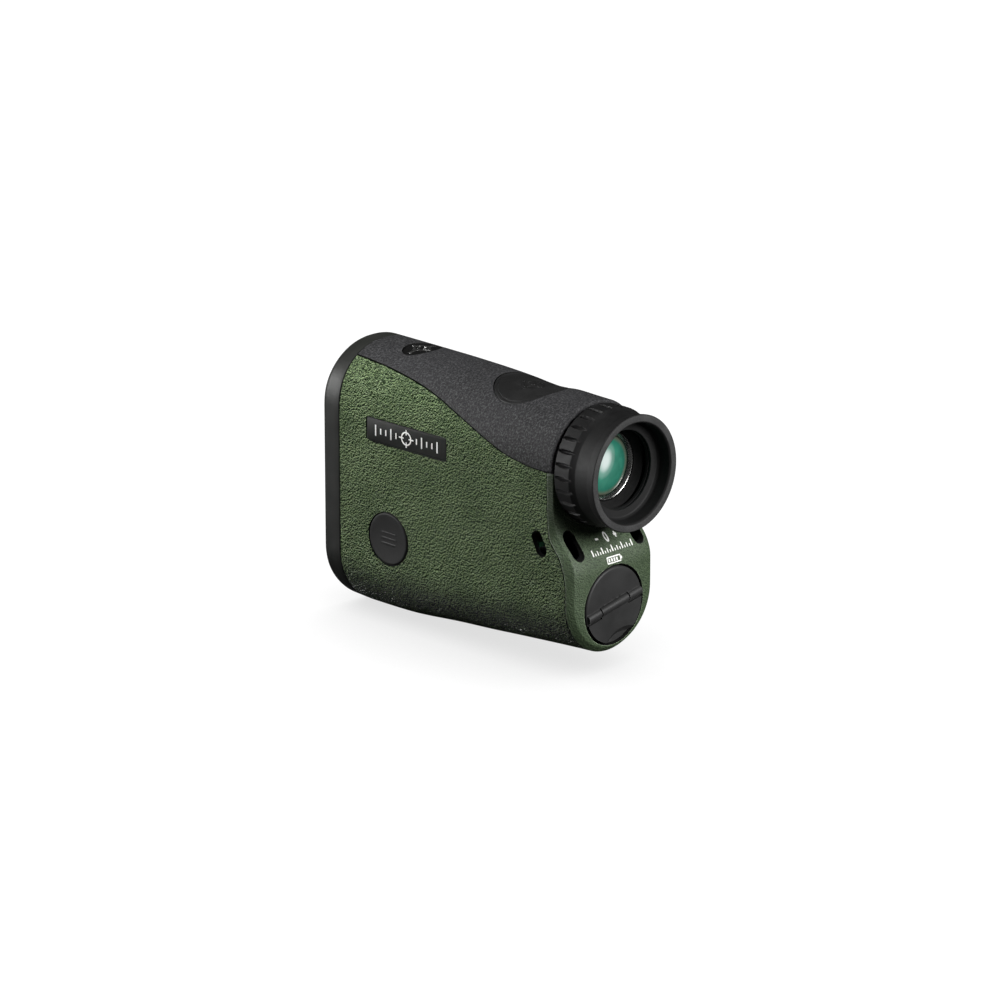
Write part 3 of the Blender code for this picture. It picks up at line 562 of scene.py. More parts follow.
# ------------------------------------------------------------------ raised marks
def line_points(start, end, parts):
    return [(start[0] + (end[0] - start[0]) * k / parts, start[1] + (end[1] - start[1]) * k / parts)
            for k in range(parts + 1)]


def dash(start, end, parts, width):
    """Straight mark: (path, width, closed)."""
    return line_points(start, end, parts), width, False


def oval(centre, radii, parts, width):
    """Ring-shaped mark: (path, width, closed)."""
    path = []
    for k in range(parts):
        angle = 2 * math.pi * k / parts
        path.append((centre[0] + radii[0] * math.cos(angle), centre[1] + radii[1] * math.sin(angle)))
    return path, width, True


def decal(name, marks, from_chart, out, material, body, height=0.05, sink=0.06):
    """Group of raised ribbons: marks drawn in chart coordinates, raised along the vector out."""
    # (share of the width, height) across a ribbon
    shape = [(-0.5, -sink), (-0.5, height * 0.6), (-0.38, height), (0.38, height),
             (0.5, height * 0.6), (0.5, -sink)]
    size = len(shape)
    points, faces = [], []
    for path, width, closed in marks:
        base, count = len(points), len(path)
        for i, (across, up) in enumerate(path):
            if closed:
                before, after = path[i - 1], path[(i + 1) % count]
            else:
                before, after = path[max(i - 1, 0)], path[min(i + 1, count - 1)]
            run, rise = after[0] - before[0], after[1] - before[1]
            length = math.hypot(run, rise)
            for share, lift in shape:
                x, y, z = from_chart(across + -rise / length * share * width,
                                     up + run / length * share * width)
                points.append((x + out[0] * lift, y + out[1] * lift, z + out[2] * lift))
        faces += stack_faces(count, size, closed, base=base)
        if not closed:
            faces.append(tuple(base + k for k in range(size)))
            faces.append(tuple(base + (count - 1) * size + k for k in reversed(range(size))))
    finish(make(name, points, faces, recalc=True, sharp=30), body, material)


# ------------------------------------------------------------------ material helpers
def srgb(red, green, blue):
    """Linear colour with alpha from 0..255 display values."""
    def one(value):
        value /= 255
        return value / 12.92 if value <= 0.04045 else ((value + 0.055) / 1.055) ** 2.4
    return (one(red), one(green), one(blue), 1.0)


def shade(tone, factor=1.0, lift=0):
    return srgb(*[min(255, value * factor + lift) for value in tone])


class Look:
    """A Principled material with helpers for procedural detail, in millimetre coordinates."""

    SOCKETS = {
        "color": "Base Color", "rough": "Roughness", "metal": "Metallic", "normal": "Normal",
        "spec": "Specular IOR Level", "coat": "Coat Weight", "coat_rough": "Coat Roughness",
        "coat_tint": "Coat Tint", "transmission": "Transmission Weight", "ior": "IOR",
        "emission": "Emission Color", "glow": "Emission Strength"}

    def __init__(self, name):
        self.mat = bpy.data.materials.new(name)
        self.mat.use_nodes = True
        self.tree = self.mat.node_tree
        self.shader = self.tree.nodes["Principled BSDF"]

    @cached_property
    def mm(self):
        """Object coordinates in millimetres."""
        coords = self.node("TexCoord")
        return self.vec("SCALE", coords.outputs["Object"], 1000.0)

    def node(self, kind):
        return self.tree.nodes.new("ShaderNode" + kind)

    def link(self, output, socket):
        self.tree.links.new(output, socket)

    def put(self, value, socket):
        if isinstance(value, bpy.types.NodeSocket):
            self.link(value, socket)
        else:
            socket.default_value = value

    def noise(self, scale, detail=4.0, rough=0.6, distort=0.0, vec=None, out="Fac"):
        node = self.node("TexNoise")
        self.put(vec or self.mm, node.inputs["Vector"])
        node.inputs["Scale"].default_value = scale
        node.inputs["Detail"].default_value = detail
        node.inputs["Roughness"].default_value = rough
        node.inputs["Distortion"].default_value = distort
        return node.outputs[out]

    def voronoi(self, scale, feature="F1", vec=None, randomness=1.0):
        node = self.node("TexVoronoi")
        node.feature = feature
        self.put(vec or self.mm, node.inputs["Vector"])
        node.inputs["Scale"].default_value = scale
        node.inputs["Randomness"].default_value = randomness
        return node.outputs["Distance"]

    def ramp(self, fac, stops, smooth=False):
        """Colour ramp with stops of (place, colour or grey value)."""
        node = self.node("ValToRGB")
        self.put(fac, node.inputs["Fac"])
        bar = node.color_ramp
        bar.interpolation = "EASE" if smooth else "LINEAR"
        while len(bar.elements) < len(stops):
            bar.elements.new(0.5)
        for element, (place, color) in zip(bar.elements, stops):
            element.position = place
            element.color = color if isinstance(color, tuple) else (color, color, color, 1.0)
        return node.outputs["Color"]

    def math(self, operation, one, two):
        node = self.node("Math")
        node.operation = operation
        self.put(one, node.inputs[0])
        self.put(two, node.inputs[1])
        return node.outputs[0]

    def times(self, value, by):
        return self.math("MULTIPLY", value, by)

    def vec(self, operation, one, two=None, out=0):
        node = self.node("VectorMath")
        node.operation = operation
        self.put(one, node.inputs[0])
        if operation == "SCALE":
            node.inputs["Scale"].default_value = two
        elif two is not None:
            self.put(two, node.inputs[1])
        return node.outputs[out]

    def reach(self, centre, radius):
        """Distance from centre as a share of radius."""
        away = self.vec("SUBTRACT", self.mm, centre)
        return self.remap(self.vec("LENGTH", away, out="Value"), of=(0.0, radius))

    def mix(self, amount, base, top):
        node = self.node("Mix")
        node.data_type = "RGBA"
        node.blend_type = "MIX"
        self.put(amount, node.inputs[0])
        self.put(base, node.inputs[6])
        self.put(top, node.inputs[7])
        return node.outputs[2]

    def remap(self, value, of, to=(0.0, 1.0)):
        """Maps the range `of` to the range `to`, held at its ends."""
        node = self.node("MapRange")
        self.put(value, node.inputs[0])
        for k, number in enumerate((*of, *to), 1):
            node.inputs[k].default_value = number
        return node.outputs[0]

    def bump(self, height, depth):
        """Normal bumped by height, depth in millimetres."""
        node = self.node("Bump")
        self.put(height, node.inputs["Height"])
        node.inputs["Distance"].default_value = depth * MM
        node.inputs["Strength"].default_value = 1.0
        return node.outputs["Normal"]

    def relief(self, grain, step, depth):
        """Bumped normal of grain(place), and its fall over a small step towards the light as 0..1
        painted light and shade.
        """
        height = grain(self.mm)
        fall = self.math("SUBTRACT", height, grain(self.vec("ADD", self.mm, step)))
        normal = self.bump(height, depth=depth)
        return normal, self.remap(fall, of=(-0.12, 0.12))

    def edges(self, radius, start=0.99, full=0.75):
        """1 on edges, 0 on flats, from how far the bevelled and true normals agree."""
        node = self.node("Bevel")
        node.samples = 4
        node.inputs["Radius"].default_value = radius * MM
        geometry = self.node("NewGeometry")
        agree = self.vec("DOT_PRODUCT", node.outputs[0], geometry.outputs["Normal"], "Value")
        return self.remap(agree, of=(start, full))

    def done(self, **values):
        """Sets the shader's inputs and returns the material."""
        for key, value in values.items():
            self.put(value, self.shader.inputs[self.SOCKETS[key]])
        return self.mat


# ------------------------------------------------------------------ materials
def leather_green():
    """Satin olive skin with a pebbled grain of worm-like ridges and valleys, coloured with painted
    light and shade on the slopes facing towards and away from the light.
    """
    look = Look("olive_leather_grain")

    def grain(at):
        wander = look.noise(scale=1.5, detail=2.0, rough=0.55, vec=at, out="Color")
        warp = look.vec("SCALE", wander, 0.8)
        cells = look.voronoi(scale=1.4, feature="DISTANCE_TO_EDGE", vec=look.vec("ADD", at, warp))
        worms = look.noise(scale=1.6, detail=2.0, rough=0.5, distort=0.5, vec=at)
        crease = look.remap(cells, of=(0.0, 0.26))
        return look.math("ADD", look.times(crease, by=0.34), look.times(worms, by=1.25))

    normal, lit = look.relief(grain, step=(0.0, 0.09, 0.15), depth=0.9)
    patch = look.noise(scale=0.07, detail=3.0, rough=0.5)
    broad = look.remap(patch, of=(0.35, 0.65))
    close = look.noise(scale=0.45, detail=5.0, rough=0.62)
    # tone runs from painted shade to painted highlight, following the grain's slope towards the light
    tone = look.ramp(lit, [(0.0, srgb(6, 18, 5)), (0.42, srgb(34, 55, 27)),
                           (0.66, srgb(70, 93, 56)), (1.0, srgb(150, 172, 126))])
    color = look.mix(look.times(broad, by=0.35), tone, srgb(46, 67, 39))
    # pale speckle only on the lit slopes: a painted highlight on the grain
    wear_and_highlight = look.times(look.remap(close, of=(0.58, 0.8), to=(0.0, 0.25)), by=lit)
    color = look.mix(wear_and_highlight, color, srgb(104, 122, 90))
    return look.done(color=color, rough=look.remap(lit, of=(0.0, 1.0), to=(0.46, 0.24)),
                     normal=normal, spec=look.remap(lit, of=(0.0, 1.0), to=(0.12, 0.6)))


def fine_green():
    """Olive shell with a fine pitted texture coloured with painted light and shade, and bright edges
    that are partly rubbed wear and partly a painted highlight.
    """
    look = Look("olive_fine_texture")

    def grit(at):
        pits = look.noise(scale=2.2, detail=3.0, vec=at)
        return look.math("SUBTRACT", pits, look.times(look.voronoi(scale=2.2, vec=at), by=0.25))

    normal, lit = look.relief(grit, step=(0.05, -0.05, 0.1), depth=0.22)
    patch = look.noise(scale=0.09, detail=3.0, rough=0.5)
    base = look.mix(look.remap(patch, of=(0.35, 0.65)), srgb(60, 76, 50), srgb(66, 82, 57))
    pale = look.mix(amount=0.45, base=base, top=srgb(92, 108, 82))
    # colour runs from a painted shade to a painted lit tone along the grit's slope towards the light
    color = look.mix(lit, srgb(30, 44, 25), pale)
    # paler edges: partly rubbed wear, partly a painted highlight along the crease
    edges = look.edges(radius=0.28, start=0.992, full=0.94)
    wear_and_highlight = look.times(edges, by=look.remap(look.noise(scale=1.6), of=(0.38, 0.6), to=(0.25, 1.0)))
    color = look.mix(wear_and_highlight, color, srgb(150, 164, 140))
    rough = look.remap(lit, of=(0.0, 1.0), to=(0.58, 0.42))
    return look.done(color=color, rough=rough, normal=normal, spec=0.45)


def charcoal_speckle():
    """Charcoal cover with a fine two-tone speckle."""
    look = Look("charcoal_speckle")
    grit = look.noise(scale=1.9, detail=5.0, rough=0.7)
    dots = look.voronoi(scale=2.6)
    normal = look.bump(look.math("ADD", grit, look.times(dots, by=-0.35)), depth=0.16)
    tone = look.ramp(look.remap(grit, of=(0.36, 0.64)),
                     [(0.0, srgb(22, 22, 23)), (0.5, srgb(36, 36, 37)), (1.0, srgb(70, 70, 71))])
    patch = look.noise(scale=0.06, detail=2.0, rough=0.5)
    color = look.mix(look.remap(patch, of=(0.3, 0.7), to=(0.0, 0.3)), tone, srgb(50, 50, 52))
    rough = look.remap(grit, of=(0.3, 0.7), to=(0.78, 0.6))
    return look.done(color=color, rough=rough, normal=normal, spec=0.25)


def satin_plastic(name, tone, rough, grain, scale):
    """Clouded plastic with lightly paler edges: rubbed wear together with a painted edge highlight.
    """
    look = Look(name)
    fine = look.noise(scale=scale)
    cloud = look.noise(scale=0.12)
    normal = look.bump(fine, depth=grain)
    color = look.mix(look.remap(cloud, of=(0.3, 0.7)), shade(tone, 0.9), shade(tone, 1.1))
    # paler edges: partly rubbed wear, partly a painted edge highlight
    edges = look.edges(radius=0.25)
    wear_and_highlight = look.times(edges, by=look.remap(look.noise(scale=0.9), of=(0.4, 0.7), to=(0.1, 0.5)))
    color = look.mix(wear_and_highlight, color, shade(tone, factor=1.9, lift=12))
    rough = look.remap(cloud, of=(0.3, 0.7), to=(rough - 0.05, rough + 0.07))
    return look.done(color=color, rough=rough, normal=normal, spec=0.3)


def rubber(name, tone, rough, grain=0.05, scale=4.0):
    """Finely grained rubber with dusty patches."""
    look = Look(name)
    fine = look.noise(scale=scale, detail=5.0, rough=0.65)
    cloud = look.noise(scale=0.2)
    normal = look.bump(fine, depth=grain)
    color = look.mix(look.remap(fine, of=(0.3, 0.7)), shade(tone, 0.8), shade(tone, 1.15))
    dust = look.remap(cloud, of=(0.45, 0.75), to=(0.0, 0.35))
    color = look.mix(dust, color, shade(tone, factor=1.5, lift=6))
    rough = look.remap(cloud, of=(0.3, 0.7), to=(rough - 0.06, rough + 0.08))
    return look.done(color=color, rough=rough, normal=normal, spec=0.28)


def metal(name, tone, rough, scale=3.0):
    look = Look(name)
    fine = look.noise(scale=scale, detail=6.0)
    normal = look.bump(fine, depth=0.02)
    color = look.mix(look.remap(fine, of=(0.3, 0.7)), shade(tone, 0.85), shade(tone))
    rough = look.remap(fine, of=(0.3, 0.7), to=(rough - 0.06, rough + 0.1))
    return look.done(color=color, metal=1.0, rough=rough, normal=normal)


def print_white():
    """Speckled white print with a faint glow, painted light that makes the marks read brighter."""
    look = Look("printed_white")
    speck = look.noise(scale=6.0)
    color = look.mix(look.remap(speck, of=(0.4, 0.75), to=(0.0, 0.5)),
                     srgb(238, 238, 234), srgb(205, 206, 200))
    return look.done(color=color, rough=0.5, normal=look.bump(speck, depth=0.02), spec=0.4,
                     emission=(1, 1, 1, 1), glow=0.10)


def coated_lens(name, centre, radius, core, rim):
    """Dark lens shading from a core colour to a rim colour."""
    look = Look(name)
    spread = look.reach(centre, radius)
    swirl = look.noise(scale=0.22, detail=2.0, rough=0.5)
    stops = [(0.0, core), (0.55, core), (0.86, rim), (1.0, srgb(6, 14, 12))]
    tone = look.ramp(spread, stops, smooth=True)
    color = look.mix(look.remap(swirl, of=(0.35, 0.65), to=(0.0, 0.35)), tone, rim)
    return look.done(color=color, rough=0.04, spec=0.9, coat=1.0, coat_rough=0.02,
                     coat_tint=srgb(150, 255, 220), emission=color, glow=0.0)


def window_lens(name, centre, radius):
    """Deep teal eyepiece lens that glows with its own colour as painted light, lighter at the centre
    and darker to the rim, with a soft painted reflection where the view mirrors one fixed direction.
    """
    look = Look(name)
    spread = look.reach(centre, radius)
    swirl = look.noise(scale=0.2, detail=2.0, rough=0.5, distort=0.6)
    mirror = look.node("TexCoord").outputs["Reflection"]
    window = (0.665, -0.705, -0.245)
    facing = look.vec("DOT_PRODUCT", mirror, window, "Value")
    gleam = look.ramp(look.remap(facing, of=(0.984, 0.9998)),
                      [(0.0, 0.0), (0.5, 0.14), (1.0, 0.85)], smooth=True)
    tone = look.ramp(spread, [
        (0.0, srgb(84, 156, 136)), (0.5, srgb(62, 138, 116)), (0.78, srgb(42, 112, 94)),
        (0.9, srgb(86, 92, 78)), (0.97, srgb(16, 22, 18)), (1.0, srgb(4, 6, 5))])
    cloud = look.remap(swirl, of=(0.35, 0.68), to=(0.0, 0.6))
    deep = look.mix(amount=0.55, base=tone, top=srgb(18, 62, 52))
    color = look.mix(gleam, look.mix(cloud, tone, deep), srgb(236, 246, 243))
    # the glow is painted light, and the gleam a painted reflection of a window
    return look.done(color=look.mix(amount=0.7, base=color, top=srgb(6, 14, 12)), rough=0.05,
                     spec=0.5, coat=0.3, coat_rough=0.03, emission=color, glow=0.6)


def circuit():
    look = Look("circuit_board")
    traces = look.voronoi(scale=0.55, randomness=0.2)
    fine = look.noise(scale=4.0, detail=3.0, rough=0.5)
    color = look.mix(look.remap(traces, of=(0.25, 0.32)), srgb(18, 92, 52), srgb(24, 66, 40))
    return look.done(color=color, rough=0.4, normal=look.bump(fine, depth=0.03), coat=0.3)


def polished_glass(name, tone):
    look = Look(name)
    haze = look.noise(scale=0.5, detail=3.0, rough=0.5)
    color = look.mix(look.remap(haze, of=(0.3, 0.7), to=(0.0, 0.2)), shade(tone), srgb(230, 240, 240))
    return look.done(color=color, rough=0.03, transmission=0.85, ior=1.52,
                     normal=look.bump(haze, depth=0.002))


LEATHER = leather_green()
GREEN_FINE = fine_green()
CHARCOAL = charcoal_speckle()
SATIN = satin_plastic("satin_black", tone=(32, 33, 31), rough=0.48, grain=0.02, scale=6.0)
CAP_BLACK = satin_plastic("cap_black", tone=(42, 42, 42), rough=0.5, grain=0.03, scale=5.0)
PLATE = satin_plastic("plate_black", tone=(24, 26, 23), rough=0.55, grain=0.06, scale=4.0)
BADGE_BLACK = satin_plastic("badge_black", tone=(9, 9, 9), rough=0.5, grain=0.01, scale=6.0)
BUTTON = rubber("button_rubber", tone=(22, 22, 22), rough=0.6, grain=0.03, scale=5.0)
RAISED = rubber("button_mark_rubber", tone=(20, 20, 20), rough=0.5, grain=0.03, scale=5.0)
EYECUP = rubber("eyecup_rubber", tone=(15, 15, 15), rough=0.62, grain=0.03)
LIP = rubber("eyecup_lip", tone=(52, 52, 52), rough=0.62, grain=0.2, scale=2.0)
SEAL = rubber("seal_rubber", tone=(14, 14, 14), rough=0.65)
ANODISED = metal("black_anodised", tone=(28, 28, 29), rough=0.42)
# near-black for the real baffles, and painted shade on the insides and cut walls of the shells
BAFFLE_BLACK_AND_PAINTED_SHADE = rubber("baffle_black_and_painted_shade", tone=(5, 5, 5), rough=0.85, grain=0.04, scale=3.0)
STEEL = metal("bright_steel", tone=(205, 205, 203), rough=0.22)
SILVER = metal("silver_print", tone=(222, 222, 220), rough=0.25, scale=5.0)
CHASSIS = satin_plastic("chassis_grey", tone=(86, 86, 90), rough=0.55, grain=0.05, scale=3.0)
BOARD = circuit()
WRAP = satin_plastic("battery_wrap", tone=(26, 50, 108), rough=0.3, grain=0.01, scale=3.0)
AMBER = satin_plastic("flex_amber", tone=(168, 96, 28), rough=0.3, grain=0.02, scale=3.0)
GLASS = polished_glass("clear_glass", tone=(200, 235, 225))
WHITE = print_white()

# ------------------------------------------------------------------ green side shell
SHELL_COLUMNS, SHELL_ROWS = 124, 66
SLOT_AT, SLOT_LEAN = (-31.65, -20.1), math.radians(27)       # leaning slot in each side, (y, z)


def green_point(i, j):
    """Columns run from the right seam under the bottom to the left seam, rows front to rear."""
    across, back = -1 + 2 * i / SHELL_COLUMNS, j / SHELL_ROWS
    z = -20.0
    y = FRONT_STOP
    for _ in range(8):
        y = FRONT_STOP + (beside(rear_seam, z, GAP) - FRONT_STOP) * back
        seam_girth = girth_at(beside(cover_seam, y, -GAP), y)
        x, z = section_point(abs(across) * seam_girth, y)
    return (-x if across > 0 else x, y, z)


shell = Sheet(SHELL_COLUMNS, SHELL_ROWS, green_point)
shell.punch(MENU_AT, outside_circle(MENU_AT, MENU_RADIUS + 0.3), LEFT_CHART, margin=0.8)
PLATE_HOLE = (PLATE_HALF[0] + 0.28, PLATE_HALF[1] + 0.28)
shell.punch(PLATE_AT, outside_slot(PLATE_AT, *PLATE_HOLE, radius=0.5), LEFT_CHART, margin=0.7)
for chart in (LEFT_CHART, RIGHT_CHART):
    side_slot = outside_slot(SLOT_AT, 1.95, 3.7, radius=1.9, lean=-SLOT_LEAN)
    shell.punch(SLOT_AT, side_slot, chart, margin=0.55)
green = face_outward(shell.build("green_side_shell"), inside_z=-20)
solidify(green)
soften(green, 0.22)
finish(green, "housing", LEATHER, "green_shell", BAFFLE_BLACK_AND_PAINTED_SHADE)

# ------------------------------------------------------------------ top cover
COVER_COLUMNS, COVER_ROWS, FILLET_ROWS, MORPH_ROWS = 72, 84, 6, 5
REAR_HOLE = 13.3                                   # radius of the arch the rear end closes on
COVER_REAR_Y, COVER_INSET, EDGE_DEPTH = rear_edge(0.5), edge_inset(0.5), 1.0
MEASURE_RADIUS = 10.4
BADGE_RADIUS, BADGE_SHORT = 6.0, 4.4 / 6.0         # half length across x, and its oval ratio


def cover_point(i, j):
    """Columns run right seam to left seam, rows front to rear, round the edge, then to the arch."""
    across = -1 + 2 * i / COVER_COLUMNS
    share = abs(across)
    if j <= COVER_ROWS:
        y = FRONT_STOP + (COVER_REAR_Y + EDGE_DEPTH - FRONT_STOP) * j / COVER_ROWS
        inset = 0.0
    else:
        turn = min(j - COVER_ROWS, FILLET_ROWS) / FILLET_ROWS * math.pi / 2
        y = COVER_REAR_Y + EDGE_DEPTH * (1 - math.sin(turn))
        inset = COVER_INSET * (1 - math.cos(turn))
    low = beside(cover_seam, y, GAP)
    whole, part = full_girth(y, inset), girth_at(low, y, inset)
    x, z = section_point(whole - share * (whole - part), y, inset)
    if j > COVER_ROWS + FILLET_ROWS:
        morph = (j - COVER_ROWS - FILLET_ROWS) / MORPH_ROWS
        start = math.asin(low / REAR_HOLE)
        angle = math.pi / 2 - share * (math.pi / 2 - start)
        x += (REAR_HOLE * math.cos(angle) - x) * morph
        z += (REAR_HOLE * math.sin(angle) - z) * morph
    return (-x if across > 0 else x, y, z)


def outside_badge(x, y):
    """Signed reach outside the badge's oval seat."""
    short = BADGE_RADIUS * BADGE_SHORT
    return (math.hypot(x / (BADGE_RADIUS + 0.18), (y - BADGE_AT[1]) / (short + 0.18)) - 1) * short


cover = Sheet(COVER_COLUMNS, COVER_ROWS + FILLET_ROWS + MORPH_ROWS, cover_point)
measure_hole = outside_circle(MEASURE_AT, MEASURE_RADIUS + 0.3)
cover.punch(MEASURE_AT, measure_hole, TOP_CHART, margin=0.5, rings=5)
cover.punch(BADGE_AT, outside_badge, TOP_CHART, margin=0.5, rings=5)
top = face_outward(cover.build("top_cover_shell"), inside_z=0)
solidify(top)
soften(top, 0.2)
finish(top, "housing", CHARCOAL, "top_cover", BAFFLE_BLACK_AND_PAINTED_SHADE)

# ------------------------------------------------------------------ rear cover
REAR_COLUMNS = 156
CREASE = 0.22                  # how far the crease's rounding reaches either way
# (zone, place in it): shares across the band and crease, then mm inward over the face
ZONES = {"band": (0.0, 0.12, 0.28, 0.44, 0.6, 0.76), "crease": (0.0, 0.25, 0.5, 0.75, 1.0),
         "face": (0.45, 0.75, 1.1, 1.55, 2.1, 2.8, 3.6, 4.6, 5.8, 7.2, 8.6, 10.0, 11.4, 12.6, 1.0e3)}
INNER_ZONES = {"inner_band": (0.0, 0.5, 1.0), "inner_face": (1.0, 2.5, 4.5, 7.0, 10.0, 1.0e3)}


def rear_point(across, zone, step):
    """Skin point; across runs right to left, rows from the side seam to mid rear face."""
    z = -20.0
    for _ in range(10):
        seam = beside(rear_seam, z, -GAP)
        edge, deep = rear_edge(z), edge_inset(z)
        full = half_width(edge)
        inner_y = min(edge + WALL, seam - 0.3)

        def chamfer(share):
            return seam + (edge - seam) * share, deep * share ** 1.1

        def face(extra):
            inset = min(deep + extra, full - 0.004)
            reach = (full - inset) / (full - deep)
            return edge - CROWN * crown_fade(z) * (1 - min(1.0, reach) ** 6), inset

        if zone == "band":
            y, inset = chamfer(step)
        elif zone == "crease":
            back = CREASE / max(0.5, math.hypot(seam - edge, deep))
            ends = zip(chamfer(1 - back), (edge, deep), face(CREASE))
            y, inset = [start * (1 - step) ** 2 + 2 * step * (1 - step) * bend + end * step * step
                        for start, bend, end in ends]
        elif zone == "inner_band":
            y, inset = seam + (inner_y - seam) * step, WALL + deep * 0.75 * step
        elif zone == "inner_face":
            y, inset = inner_y, min(WALL + deep * 0.75 + step, full - 0.004)
        else:
            y, inset = face(step)
        level = edge if zone in ("face", "inner_face") else y
        part = girth_at(0.2 - GAP, level, inset)
        x, z = section_point(abs(across) * part, level, inset)
    return (-x if across > 0 else x, y, z)


def rear_shell():
    outer = [(zone, step) for zone, steps in ZONES.items() for step in steps]
    rows = outer + [(zone, step) for zone, steps in INNER_ZONES.items() for step in steps]
    turn, count = len(outer), len(rows)
    columns = range(REAR_COLUMNS)

    def at(j, i):
        return j * (REAR_COLUMNS + 1) + i

    points = [rear_point(-1 + 2 * i / REAR_COLUMNS, zone, step)
              for zone, step in rows for i in range(REAR_COLUMNS + 1)]
    faces = [(at(j, i), at(j, i + 1), at(j + 1, i + 1), at(j + 1, i))
             for j in range(turn - 1) for i in columns]
    skin = len(faces)
    faces += [(at(j, i), at(j + 1, i), at(j + 1, i + 1), at(j, i + 1))
              for j in range(turn, count - 1) for i in columns]
    faces += [(at(0, i), at(turn, i), at(turn, i + 1), at(0, i + 1)) for i in columns]
    for i in (0, REAR_COLUMNS):
        order = list(range(turn)) + list(range(count - 1, turn - 1, -1))
        faces.append(tuple(at(j, i) for j in order))
    # the inner faces take the second material, black painted shade
    return make("rear_cover_shell", points, faces, recalc=True, weld=0.012, inner_from=skin)


def slot_plug(centre_x):
    """Upright slot cutter through the rear skin, its mouth flared along the curved face."""
    centre_z, half_x, half_z = -20.05, 1.97, 3.6
    front_y, back_y = -33.5, -48
    count = 40
    outside = outside_slot((0, 0), half_x, half_z, radius=1.9)
    outline = []
    for k in range(count):
        cos, sin = math.cos(2 * math.pi * k / count), math.sin(2 * math.pi * k / count)
        reach = last_inside(lambda far: outside(far * cos, far * sin) < 0, half_x + half_z + 2)
        outline.append((reach * cos, reach * sin))
    # (growth, fixed y, or offset from the skin)
    levels = [(0.0, front_y, None), (0.0, None, 0.2), (0.06, None, 0.06), (0.2, None, -0.02),
              (0.2, back_y, None)]
    points = []
    for grow, fixed, offset in levels:
        for across, up in outline:
            scale = 1 + grow / math.hypot(across, up)
            x, z = centre_x + across * scale, centre_z + up * scale
            points.append((x, rear_skin(x, z) + offset if fixed is None else fixed, z))
    return make("slot_cut", points, stack_faces(len(levels), count, capped=True), recalc=True)


rear = rear_shell()
cap_face = rear_skin(10.5, CAP_Z)
cap_hole = [(0, -36.0), (11.15, -36.0), (11.15, cap_face + 0.16), (11.2, cap_face + 0.05),
            (11.3, cap_face - 0.06), (11.5, cap_face - 0.3), (11.5, -48), (0, -48)]
# the walls of the cap hole take black painted shade
cut(rear, spin("hole", cap_hole, 128, about_y(CAP_Z)), inner=True)
eye_relief = [(0, -30), (13.2, -30), (13.2, -36.25), (16.75, -36.25), (16.75, -55), (0, -55)]
cut(rear, spin("relief", eye_relief, 128))
for side in (-1, 1):
    # the slot walls take black painted shade
    cut(rear, slot_plug(side * 11.35), inner=True)
soften(rear, 0.1, segments=1, angle=60)
rear.data.shade_smooth()
finish(rear, "housing", GREEN_FINE, "rear_cover", BAFFLE_BLACK_AND_PAINTED_SHADE)

# ------------------------------------------------------------------ front bezel
RING_POINTS = 168


def section_ring(rule, inset):
    """Closed ring of the body section where y follows rule(z)."""
    out = []
    for k in range(RING_POINTS):
        turn = 2 * k / RING_POINTS
        share = turn if turn <= 1 else 2 - turn
        z = -20.0
        for _ in range(4):
            y = rule(z)
            x, z = section_point(share * full_girth(y, inset), y, inset)
        out.append((x if turn <= 1 else -x, rule(z), z))
    return out


def level(y):
    return lambda z: y


def near_front(offset):
    return lambda z: bezel_front(z) + offset


def bezel_ring():
    seam = BEZEL_SEAM_Y + GAP
    # (y rule, inset) from the seam over the outside to the front and back along the inside
    stations = [(level(seam), 1.5), (level(seam), 0.28), (level(seam + 0.07), 0.08),
                (level(seam + 0.28), 0.0), (level(46.0), 0.0)]
    for degrees in range(0, 91, 9):
        angle = math.radians(degrees)
        stations.append((near_front(-BEZEL_FILLET * (1 - math.sin(angle))),
                         BEZEL_FILLET * (1 - math.cos(angle))))
    stations += [(near_front(0.0), BEZEL_RIM - 0.5), (near_front(-0.06), BEZEL_RIM - 0.2),
                 (near_front(-0.25), BEZEL_RIM - 0.04), (near_front(-0.5), BEZEL_RIM),
                 (level(47.0), BEZEL_RIM), (level(45.0), BEZEL_RIM), (level(seam), BEZEL_RIM)]
    points = [point for rule, inset in stations for point in section_ring(rule, inset)]
    faces = stack_faces(len(stations), RING_POINTS, closed=True)
    return make("front_bezel_ring", points, faces, recalc=True, sharp=60)


finish(bezel_ring(), "housing", SATIN, "front_bezel")


# ------------------------------------------------------------------ front plate with lens wells
def lens_plate():
    face_y = box_mm("front_plate")[1].y
    # (y, extra inset)
    layers = [(face_y - 1.1, 0.0), (face_y - 0.2, 0.0), (face_y - 0.06, 0.06), (face_y, 0.25)]
    points = [point for y, extra in layers
              for point in section_ring(level(y), BEZEL_RIM + 0.3 + extra)]
    faces = stack_faces(len(layers), RING_POINTS)
    for row in (0, len(layers) - 1):
        base = row * RING_POINTS
        for k in range(RING_POINTS // 2):
            loop = (base + k, base + k + 1, base + (RING_POINTS - k - 1) % RING_POINTS,
                    base + (RING_POINTS - k) % RING_POINTS)
            faces.append(tuple(dict.fromkeys(loop)))
    plate = make("front_lens_plate", points, faces, recalc=True)
    for z, radius in ((0.0, 11.4), (RECEIVER_Z, 8.8)):
        well = [(0, 40), (radius, 40), (radius, face_y - 0.45), (radius + 0.12, face_y - 0.2),
                (radius + 0.45, face_y + 0.02), (radius + 0.8, face_y + 0.3), (radius + 0.8, 55),
                (0, 55)]
        cut(plate, spin("well", well, 112, about_y(z)))
    plate.data.shade_smooth()
    plate.data.set_sharp_from_angle(angle=math.radians(30))
    return plate


finish(lens_plate(), "housing", PLATE, "front_plate")


# ------------------------------------------------------------------ front barrels and lenses
def lens_outline(radius, low, high, sag_low, sag_high, rows=24):
    """Lens between rim planes low and high along y, bulging by a sag at each face."""
    shares = [k / rows for k in range(rows + 1)]
    places = [radius * k / rows for k in range(rows + 1)]
    out = [(x, high + sag_high * (1 - share ** 2)) for x, share in zip(places, shares)]
    out += [(x, low - sag_low * (1 - share ** 2)) for x, share in zip(places, shares)][::-1]
    return out


